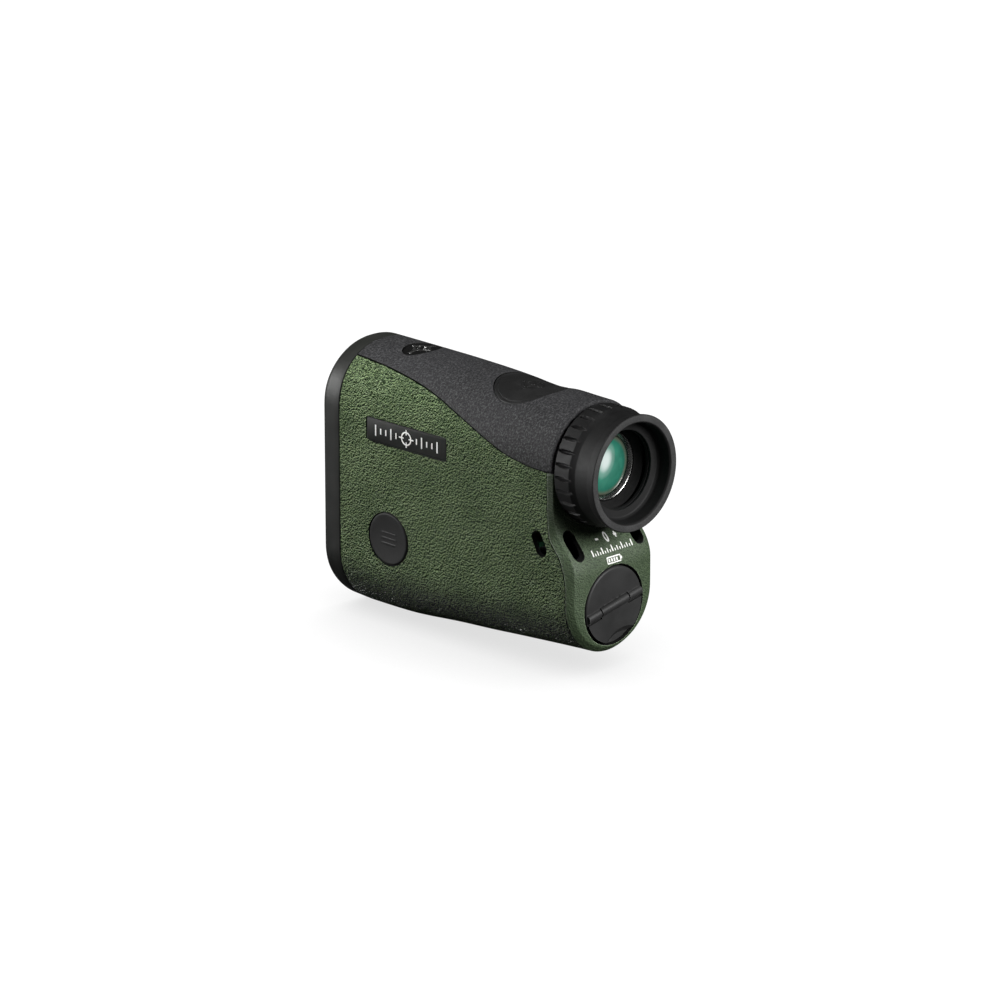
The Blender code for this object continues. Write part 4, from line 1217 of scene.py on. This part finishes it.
# name, node, z, corner radius, outline of (radius, y)
BARRELS = [
    ("objective_barrel", "objective_cell", 0.0, 0.12,
     [(12.4, 47.5), (12.4, 21.4), (9.9, 21.4), (9.9, 42.9), (11.1, 42.9), (11.1, 46.9),
      (11.3, 47.5)]),
    ("objective_lock_ring", "objective_retainer", 0.0, 0.06,
     [(10.8, 47.2), (10.8, 46.2), (10.1, 46.2), (9.8, 46.9), (10.1, 47.2)]),
    ("receiver_barrel", "receiver_cell", RECEIVER_Z, 0.12,
     [(9.3, 47.5), (9.3, 17.0), (7.0, 17.0), (7.0, 43.4), (8.3, 43.4), (8.3, 46.9), (8.5, 47.5)]),
    ("receiver_lock_ring", "receiver_retainer", RECEIVER_Z, 0.06,
     [(8.0, 47.2), (8.0, 46.2), (7.4, 46.2), (7.1, 46.9), (7.4, 47.2)])]
for name, node, z, soft, outline in BARRELS:
    turned_piece(name, node, outline, soft, ANODISED, z=z)

# name, node, radius, z, rear and front rim y, rear and front sag, core and rim colours
FRONT_LENSES = [
    ("objective_front_lens", "objective_lens", 10.8, 0.0, 43.2, 45.7, 0.3, 1.3,
     srgb(28, 78, 92), srgb(16, 36, 52)),
    ("receiver_front_lens", "receiver_lens", 8.0, RECEIVER_Z, 43.7, 45.7, 0.2, 1.0,
     srgb(74, 26, 62), srgb(30, 12, 30))]
for name, node, radius, z, low, high, sag_low, sag_high, core, rim in FRONT_LENSES:
    coating = coated_lens(name + "_coating", (0, high, z + EYE_Z), radius * 1.05, core, rim)
    lens = spin(name, lens_outline(radius, low, high, sag_low, sag_high), 96, about_y(z))
    finish(lens, "housing", coating, node)

# ------------------------------------------------------------------ side plate
PLATE_FACE = 0.10              # how far the plate's face lies inside the body's full width


def plate_mesh():
    half_y, half_z, radius = PLATE_HALF[0], PLATE_HALF[1], 0.35
    outline = []
    for side, up, start in ((1, 1, 0), (-1, 1, 90), (-1, -1, 180), (1, -1, 270)):
        for k in range(7):
            angle = math.radians(start + 15 * k)
            outline.append((side * (half_y - radius) + radius * math.cos(angle),
                            up * (half_z - radius) + radius * math.sin(angle)))
    # (how far the outline shrinks, depth inside the full width)
    layers = [(0.0, 0.55), (0.0, 0.22), (0.0225, 0.12), (0.0675, PLATE_FACE)]
    points = []
    for shrink, depth in layers:
        for across, up in outline:
            y = PLATE_AT[0] + across - math.copysign(shrink, across)
            z = PLATE_AT[1] + up - math.copysign(shrink, up)
            points.append((-half_width(y) + depth, y, z))
    faces = stack_faces(len(layers), len(outline), capped=True)
    return make("side_name_plate", points, faces, recalc=True, sharp=30)


def on_plate(across, up):
    """Across runs to the viewer's right when seen from the left side."""
    y, z = PLATE_AT[0] - across, PLATE_AT[1] + up
    return (-half_width(y) + PLATE_FACE, y, z)


finish(plate_mesh(), "housing", PLATE, "side_plate")
marks = []
for k in range(-6, 7):
    if abs(k) >= 2:
        tall = 1.55 if k % 3 == 0 else 0.8
        marks.append(dash((k * 1.95, -tall), (k * 1.95, tall), 4, width=0.42))
marks.append(oval((0, 0), (1.75, 1.75), 40, width=0.38))
for start, end in (((-2.75, 0), (-1.0, 0)), ((1.0, 0), (2.75, 0)), ((0, 1.0), (0, 2.5)),
                   ((0, -1.0), (0, -2.5))):
    marks.append(dash(start, end, 4, width=0.38))
decal("plate_scale_marks", marks, on_plate, (-1, 0, 0), WHITE, "housing")


# ------------------------------------------------------------------ badge and measure button
def disc_on_top(name, centre, radius, lift, depth, edge, rings, segments, dish=0.0, short=1.0,
                groove=None):
    """Round or oval disc that follows the cover's surface.

    groove is the (radius, half width, depth) of a ring groove.
    """
    places = [k / rings * (radius - edge) for k in range(rings + 1)]
    if groove:
        groove_radius, groove_half, groove_depth = groove
        places = sorted(places + [groove_radius + groove_half * k / 6 for k in range(-6, 7)])
    levels = [(reach, 0.0) for reach in places]                # (radius, drop)
    for degrees in (18, 36, 54, 72, 90):
        angle = math.radians(degrees)
        levels.append((radius - edge + edge * math.sin(angle), edge * (1 - math.cos(angle))))
    levels.append((radius, depth))
    points, rows = [], []
    for reach, drop in levels:
        bowl = dish * max(0.0, 1 - (reach / radius) ** 2)
        if groove and abs(reach - groove_radius) < groove_half:
            turn = math.pi / 2 * (reach - groove_radius) / groove_half
            bowl += groove_depth * math.cos(turn) ** 2
        count = 1 if reach == 0 else segments
        rows.append(list(range(len(points), len(points) + count)))
        for k in range(count):
            angle = 2 * math.pi * k / segments
            x = centre[0] + reach * math.cos(angle)
            y = centre[1] + reach * short * math.sin(angle)
            points.append((x, y, top_z(x, y) + lift - drop - bowl))
    faces = join_rows(rows) + [tuple(rows[-1])]
    return make(name, points, faces, recalc=True, sharp=50)


BADGE_LIFT = -0.2


def on_badge(x, ahead):
    y = BADGE_AT[1] + ahead
    return (x, y, top_z(x, y) + BADGE_LIFT)


badge = disc_on_top("top_badge_disc", BADGE_AT, BADGE_RADIUS, lift=BADGE_LIFT, depth=1.0, edge=0.25,
                    rings=18, segments=96, short=BADGE_SHORT)
finish(badge, "housing", BADGE_BLACK, "top_badge")
marks = [oval((0, 0), (2.15, 2.15), 48, width=0.62)]
for sign in (-1, 1):
    marks.append(dash((sign * 1.2, 0), (sign * 4.9, 0), 8, width=0.8))
    marks.append(dash((0, sign * 1.1), (0, sign * 3.3), 6, width=0.8))
decal("badge_ring_marks", marks, on_badge, (0, 0, 1), SILVER, "housing",
      height=0.12)

MEASURE_LIFT, MEASURE_DISH = -0.02, 0.3


def on_measure(x, ahead):
    y = MEASURE_AT[1] + ahead
    bowl = MEASURE_DISH * max(0.0, 1 - (math.hypot(x, ahead) / MEASURE_RADIUS) ** 2)
    return (x, y, top_z(x, y) + MEASURE_LIFT - bowl)


measure = disc_on_top("measure_button_cap", MEASURE_AT, MEASURE_RADIUS, lift=MEASURE_LIFT,
                      depth=2.0, edge=0.22, rings=24, segments=120, dish=MEASURE_DISH,
                      groove=(MEASURE_RADIUS - 0.85, 0.24, 0.16))
finish(measure, "measure_button", BUTTON, "measure_button")
marks = [oval((0, 0), (2.7, 2.7), 48, width=0.42)]
for k in range(4):
    angle = math.radians(90 * k)
    marks.append(dash((1.5 * math.cos(angle), 1.5 * math.sin(angle)),
                      (4.1 * math.cos(angle), 4.1 * math.sin(angle)), 5, width=0.42))
marks.append(oval((0, 0), (0.35, 0.35), 16, width=0.3))
decal("measure_button_mark", marks, on_measure, (0, 0, 1), RAISED, "measure_button",
      height=0.16, sink=0.1)

# ------------------------------------------------------------------ menu button
MENU_X = -17.16
# (radius, height outwards from MENU_X): dished face, rounded edge, wall and stem
menu_outline = [(MENU_RADIUS * k / 14 * 0.9, -0.12 + 0.28 * (k / 14) ** 2) for k in range(15)]
menu_outline += [(MENU_RADIUS - 0.35, 0.20), (MENU_RADIUS - 0.12, 0.10),
                 (MENU_RADIUS - 0.03, -0.05), (MENU_RADIUS, -0.3), (MENU_RADIUS, -2.2),
                 (1.8, -2.2), (1.8, -3.5), (0.0, -3.5)]


def about_menu_axis(across, along, up):
    return (MENU_X + along, MENU_AT[0] + across, MENU_AT[1] + up)


def on_menu(across, up):
    share = min(1.0, math.hypot(across, up) / (0.9 * MENU_RADIUS))
    return (MENU_X - (-0.12 + 0.28 * share ** 2), MENU_AT[0] - across, MENU_AT[1] + up)


menu = spin("menu_button_cap", [(radius, -height) for radius, height in menu_outline], 112,
            about_menu_axis, sharp=50)
finish(menu, "menu_button", BUTTON, "menu_button")
marks = [dash((-2.6, up), (2.6, up), 12, width=0.62) for up in (-1.5, 0.0, 1.5)]
decal("menu_button_mark", marks, on_menu, (-1, 0, 0), RAISED, "menu_button",
      height=0.10)

# ------------------------------------------------------------------ eyepiece
GROOVES = 28
RIM_Y = -51.0
# (radius, y, corner radius)
CUP_OUTLINE = [
    (15.75, -36.9, 0.2), (16.35, -37.35, 0.25), (16.35, -42.5, 0.3), (15.95, -43.2, 0.6),
    (15.55, -44.1, 0.8), (15.5, -48.3, 0.8), (15.9, -50.2, 0.5), (15.98, RIM_Y + 0.04, 0.22),
    (13.9, RIM_Y + 0.06, 0.2), (13.6, -50.5, 0.4), (13.4, -47.3, 0.6), (12.9, -46.55, 0.6),
    (10.9, -46.45, 0.08), (10.9, -45.9, 0.05), (14.5, -45.9, 0.1), (14.5, -36.9, 0.1)]


def grip_groove(radius, y, angle):
    """Lens-shaped grooves along y round the outer wall, each with a slight raised lip."""
    along = (y + 40.1) / 3.0
    if radius < 15.0 or abs(along) >= 1:
        return 0.0
    pitch = 2 * math.pi / GROOVES
    turn = (angle - math.radians(91.0)) / pitch
    aside = (turn - round(turn)) * pitch * 16.3
    share = abs(aside) / (0.56 * (1 - along * along) ** 0.6)
    fade = (1 - along * along) ** 0.5
    if share >= 1.45:
        return 0.0
    if share >= 1:
        return 0.07 * math.sin(math.pi * (share - 1) / 0.45) * fade
    return -1.15 * fade * (1 - share ** 3)


def cup_rows():
    """Cup outline with its outer wall cut into short steps for the grooves."""
    outline = rounded([(radius, y) for radius, y, _ in CUP_OUTLINE],
                      [soft for _, _, soft in CUP_OUTLINE])
    out = []
    for here, after in zip(outline, outline[1:] + outline[:1]):
        out.append(here)
        rise = abs(here[1] - after[1])
        if here[0] > 15.4 and after[0] > 15.4 and rise > 0.4:
            parts = max(2, int(rise / (0.2 if here[1] > -43.6 else 0.8)))
            out += line_points(here, after, parts)[1:-1]
    return out


cup = spin("eyecup_sleeve", cup_rows(), GROOVES * 24, closed=True, shift=grip_groove, sharp=70)
finish(cup, "eyepiece_ring", EYECUP, "eyecup")
lip_outline = [(15.78, RIM_Y + 0.1), (15.7, RIM_Y), (14.1, RIM_Y), (14.02, RIM_Y + 0.1)]
lip = spin("eyecup_lip", rounded(lip_outline, 0.03, 2), 192, closed=True)
finish(lip, "eyepiece_ring", LIP)
turned_piece("diopter_ring_core", "diopter_ring",
             [(14.2, -36.8), (14.2, -45.6), (10.75, -45.6), (10.75, -44.6), (13.4, -44.6),
              (13.4, -36.8)], 0.1, BAFFLE_BLACK_AND_PAINTED_SHADE, "eyepiece_ring")

BAFFLES = 9                    # steps down the ocular barrel's mouth
barrel = [(11.4, -31.0), (11.4, -43.5), (10.9, -43.5)]
for k in range(BAFFLES):
    y = -43.4 + 1.9 * k / BAFFLES
    radius = 10.85 - 1.0 * k / BAFFLES
    barrel += [(radius, y), (radius - 0.14, y + 0.06), (radius - 0.14, y + 0.15)]
barrel += [(9.6, -41.4), (9.6, -36.2), (8.2, -36.2), (8.2, -31.0)]
turned_piece("ocular_barrel", "ocular_cell", barrel, 0.02, BAFFLE_BLACK_AND_PAINTED_SHADE,
             "ocular_group")
turned_piece("ocular_lock_ring", "ocular_retainer",
             [(9.3, -40.4), (9.3, -41.25), (9.12, -41.3), (9.02, -41.25), (8.35, -40.4)],
             0.04, STEEL, "ocular_group")
lens = spin("ocular_eye_lens", lens_outline(9.25, -40.0, -36.5, 1.0, 0.0, 30), 112)
OCULAR = window_lens("ocular_coating", centre=(0, -41.0, EYE_Z), radius=8.6)
finish(lens, "ocular_group", OCULAR, "ocular_lens")
turned_piece("eyepiece_tube", "eyepiece_sleeve",
             [(13.9, -32.4), (13.9, -33.9), (12.9, -33.9), (12.9, -38.0), (12.3, -38.0),
              (12.3, -39.2), (12.9, -39.2), (12.9, -43.4), (11.75, -43.4), (11.75, -30.0),
              (12.9, -30.0), (12.9, -32.4)], 0.05, ANODISED)

# ------------------------------------------------------------------ battery cap and tab
TAB_TILT, TAB_AXIS_Y = math.radians(11.5), -43.3
KNUCKLE_RADIUS, KNUCKLE_SPLIT, KNUCKLE_END, TAB_PLAY = 1.4, 5.3, 10.25, 0.15
CAP_RADIUS, CAP_FACE_Y = 10.7, -43.85
HINGE_WAY = Vector((math.cos(TAB_TILT), 0, math.sin(TAB_TILT)))
UP_WAY = Vector((-math.sin(TAB_TILT), 0, math.cos(TAB_TILT)))


def on_cap(across, up, y):
    """Point of the cap's tilted frame: across runs along the hinge line through its centre."""
    spot = HINGE_WAY * across + UP_WAY * up
    return (spot.x, y, spot.z + CAP_Z)


def tab_outline(radius, top, tongue_half, steps=56):
    """Circle segment below top, with a tongue up to the hinge line."""
    start = math.asin(-top / radius)
    out = []
    for k in range(steps + 1):
        angle = math.pi + start + (math.pi - 2 * start) * k / steps
        out.append((radius * math.cos(angle), radius * math.sin(angle)))
    return out + [(tongue_half, top), (tongue_half, 0.0), (-tongue_half, 0.0), (-tongue_half, top)]


def slab(name, outline, rear_y, front_y):
    points = [on_cap(across, up, y) for y in (rear_y, front_y) for across, up in outline]
    return make(name, points, stack_faces(2, len(outline), capped=True), recalc=True)


def bar(name, start, end, radius, segments=56, soft=0.15):
    """Round bar along the hinge line with softened ends."""
    outline = [(0, start), (radius - soft, start), (radius - soft * 0.3, start + soft * 0.3),
               (radius, start + soft), (radius, end - soft),
               (radius - soft * 0.3, end - soft * 0.3), (radius - soft, end), (0, end)]
    return spin(name, outline, segments, lambda x, y, z: on_cap(y, z, TAB_AXIS_Y + x), sharp=None)


cap_outline = [((CAP_RADIUS - 0.55) * k / 12, CAP_FACE_Y) for k in range(13)]
cap_outline += [(CAP_RADIUS - 0.4, CAP_FACE_Y + 0.03), (CAP_RADIUS - 0.12, CAP_FACE_Y + 0.26),
                (CAP_RADIUS, CAP_FACE_Y + 0.5), (CAP_RADIUS, -41.4), (8.8, -41.4), (8.8, -37.9),
                (6.6, -37.9), (6.6, -40.3), (0, -40.3)]
cap = spin("battery_cap_body", cap_outline, 144, about_y(CAP_Z))
split = KNUCKLE_SPLIT + TAB_PLAY
cut(cap, slab("pocket", tab_outline(11.3, -1.35, split), -46, -42.4))
cut(cap, bar("room", -split, split, KNUCKLE_RADIUS + 0.3, segments=48, soft=0.01))
cut(cap, bar("knuckle_a", -KNUCKLE_END, -split, KNUCKLE_RADIUS), "UNION")
cut(cap, bar("knuckle_b", split, KNUCKLE_END, KNUCKLE_RADIUS), "UNION")
soften(cap, 0.12, angle=35)
cap.data.shade_smooth()
finish(cap, "cap", CAP_BLACK, "battery_cap")

tongue = KNUCKLE_SPLIT - TAB_PLAY
tab = slab("battery_cap_tab", tab_outline(10.4, -1.85, tongue, 96), CAP_FACE_Y, CAP_FACE_Y + 1.15)
cut(tab, bar("tab_bar", -tongue, tongue, KNUCKLE_RADIUS), "UNION")
# ball-shaped dish cut into the lower part of the tab
DISH_RADIUS, DISH_BALL, DISH_REACH = 10.3, 16.0, 11.6
ball_y = CAP_FACE_Y - math.sqrt(DISH_BALL ** 2 - DISH_RADIUS ** 2)
dish = [(DISH_REACH * k / 26, ball_y + math.sqrt(DISH_BALL ** 2 - (DISH_REACH * k / 26) ** 2))
        for k in range(27)]
dish += [(DISH_REACH, -50), (0, -50)]
dish_x, _, dish_z = on_cap(0.7, -17.6, 0)
cut(tab, spin("dish", dish, 160, about_y(dish_z, dish_x)))
soften(tab, 0.12, angle=35)
tab.data.shade_smooth()
tab.data.set_sharp_from_angle(angle=math.radians(24))
finish(tab, "tab", CAP_BLACK, "cap_tab")


# ------------------------------------------------------------------ marks on the rear cover
def on_rear(x, z):
    return (x, rear_skin(x, z) - 0.035, z)


def rear_decal(name, marks):
    decal(name, marks, on_rear, (0, -1, 0), WHITE, "housing", height=0.04, sink=0.12)


DIAL_Z = -20.07
rear_decal("diopter_scale_marks", [
    dash((-3.2, DIAL_Z), (-2.15, DIAL_Z), 4, width=0.42),
    oval((0.7, DIAL_Z), (0.5, 0.95), 40, width=0.42),
    dash((3.6, DIAL_Z), (4.7, DIAL_Z), 4, width=0.42),
    dash((4.15, DIAL_Z + 0.62), (4.15, DIAL_Z - 0.62), 5, width=0.42)])

SCALE_Z = -23.45
marks = []
for k in range(-8, 9):
    x = 0.75 + k * 0.92
    tall = 1.5 if k % 4 == 0 else 1.05 if k % 2 == 0 else 0.6
    marks.append(dash((x, SCALE_Z), (x, SCALE_Z + tall), 6, width=0.36 if k % 4 == 0 else 0.28))
rear_decal("range_scale_marks", marks)

corners = [(-2.3, -24.65), (2.6, -24.65), (2.6, -26.2), (-2.3, -26.2)]
path = []
for start, end in zip(corners, corners[1:] + corners[:1]):
    path += line_points(start, end, 8)[:-1]
marks = [(path, 0.3, True), dash((2.95, -25.1), (2.95, -25.75), 3, width=0.42)]
for k in range(4):
    x = -1.6 + k * 0.95
    marks.append(dash((x, -25.0), (x, -25.85), 3, width=0.5))
rear_decal("battery_symbol_marks", marks)

# ------------------------------------------------------------------ CAD nodes carried over
CARRIED = [
    (SEAL, ["measure_button_seal", "menu_button_seal", "battery_cap_oring", "diopter_oring"]),
    (SATIN, ["measure_switch", "menu_switch", "display_frame", "board_processor"]),
    (BOARD, ["photodiode_module", "main_board"]),
    (CHASSIS, ["optical_chassis", "battery_tube"]),
    (GLASS, ["roof_prism", "display_panel", "field_lens"]),
    (STEEL, ["prism_clamp", "clamp_screw_1", "clamp_screw_2", "laser_diode", "board_screw_1",
             "board_screw_2", "board_screw_3", "board_screw_4", "battery_contact",
             "tab_hinge_pin", "cap_contact", "cap_spring"]),
    (AMBER, ["display_flex"]),
    (WRAP, ["laser_capacitor", "battery"]),
    (ANODISED, ["lanyard_pin_left", "lanyard_pin_right"])]
for material, names in CARRIED:
    for name in names:
        mesh = NODES[name].data
        mesh.materials.clear()
        mesh.materials.append(material)
        mesh.shade_smooth()
        mesh.set_sharp_from_angle(angle=math.radians(35))


# ------------------------------------------------------------------ floor and world
def pale_floor():
    """Glows white to the camera, with a painted shadow that darkens it near the object, and is nearly
    black to other rays.
    """
    look = Look("pale_floor")
    look.tree.nodes.remove(look.shader)
    paths = look.node("LightPath")
    hidden = look.node("BsdfDiffuse")
    hidden.inputs["Color"].default_value = (0.04, 0.04, 0.04, 1)
    # ambient occlusion drives the painted shadow near the object
    near = look.node("AmbientOcclusion")
    near.samples = 12
    near.inputs["Distance"].default_value = 0.055
    soft = look.math("POWER", near.outputs["AO"], 1.2)
    glow = look.node("Emission")
    look.link(look.remap(soft, of=(0.12, 0.9), to=(0.72, 1.08)), glow.inputs["Strength"])
    choose = look.node("MixShader")
    look.link(paths.outputs["Is Camera Ray"], choose.inputs[0])
    look.link(hidden.outputs[0], choose.inputs[1])
    look.link(glow.outputs[0], choose.inputs[2])
    look.link(choose.outputs[0], look.tree.nodes["Material Output"].inputs["Surface"])
    return look.mat


mesh = bpy.data.meshes.new("floor")
grid = bmesh.new()
bmesh.ops.create_grid(grid, x_segments=24, y_segments=24, size=4.0)
grid.to_mesh(mesh)
grid.free()
floor = bpy.data.objects.new("floor", mesh)
floor.location = (0, 0, cad_box[0][2] - 0.0004)
bpy.context.scene.collection.objects.link(floor)
floor.data.materials.append(pale_floor())


def studio_world():
    """White to the camera, dim to every other ray."""
    world = bpy.data.worlds.new("studio")
    bpy.context.scene.world = world
    world.use_nodes = True
    tree = world.node_tree
    tree.nodes.clear()
    paths = tree.nodes.new("ShaderNodeLightPath")
    choose = tree.nodes.new("ShaderNodeMixShader")
    tree.links.new(paths.outputs["Is Camera Ray"], choose.inputs[0])
    for k, strength in ((1, 0.035), (2, 1.0)):
        back = tree.nodes.new("ShaderNodeBackground")
        back.inputs["Color"].default_value = (1, 1, 1, 1)
        back.inputs["Strength"].default_value = strength
        tree.links.new(back.outputs[0], choose.inputs[k])
    output = tree.nodes.new("ShaderNodeOutputWorld")
    tree.links.new(choose.outputs[0], output.inputs["Surface"])


studio_world()

# ------------------------------------------------------------------ lights and camera, in metres
CENTRE = Vector((0, -0.73, -18.45 + EYE_Z)) * MM


def add_aimed(name, data, azimuth, elevation, distance):
    """Object looking at the centre; azimuth 0 is the rear (-Y) and 90 the right (+X)."""
    obj = bpy.data.objects.new(name, data)
    turn, rise = math.radians(azimuth), math.radians(elevation)
    back = Vector((math.sin(turn) * math.cos(rise), -math.cos(turn) * math.cos(rise),
                   math.sin(rise)))
    obj.location = CENTRE + back * distance
    obj.rotation_mode = "QUATERNION"
    obj.rotation_quaternion = (-back).to_track_quat("-Z", "Y")
    bpy.context.scene.collection.objects.link(obj)
    return obj


def softbox(name, azimuth, elevation, distance, size, power, size_y=None, diffuse=True, gloss=True):
    data = bpy.data.lights.new(name, "AREA")
    data.shape = "RECTANGLE"
    data.size = size
    data.size_y = size_y or size
    data.energy = power
    obj = add_aimed(name, data, azimuth, elevation, distance)
    obj.visible_diffuse = diffuse
    obj.visible_glossy = gloss


softbox("left_front", azimuth=-128, elevation=52, distance=0.26, size=0.13, power=0.86,
        gloss=False)
softbox("left_band", azimuth=-134, elevation=14, distance=0.75, size=0.40, size_y=0.10,
        power=6.5, diffuse=False)
softbox("rear_right", azimuth=10, elevation=24, distance=0.8, size=0.34, power=9.0)
softbox("overhead", azimuth=-60, elevation=84, distance=0.8, size=0.55, power=0.8, gloss=False)

camera = bpy.data.cameras.new("view")
camera.sensor_width = 36.0
camera.lens = 198.0
camera.clip_start = 0.05
camera.clip_end = 50
scene = bpy.context.scene
scene.camera = add_aimed("view", camera, azimuth=-44.89, elevation=17.49, distance=1.48547)
scene.view_settings.view_transform = "Standard"
scene.view_settings.look = "None"

bpy.context.view_layer.update()
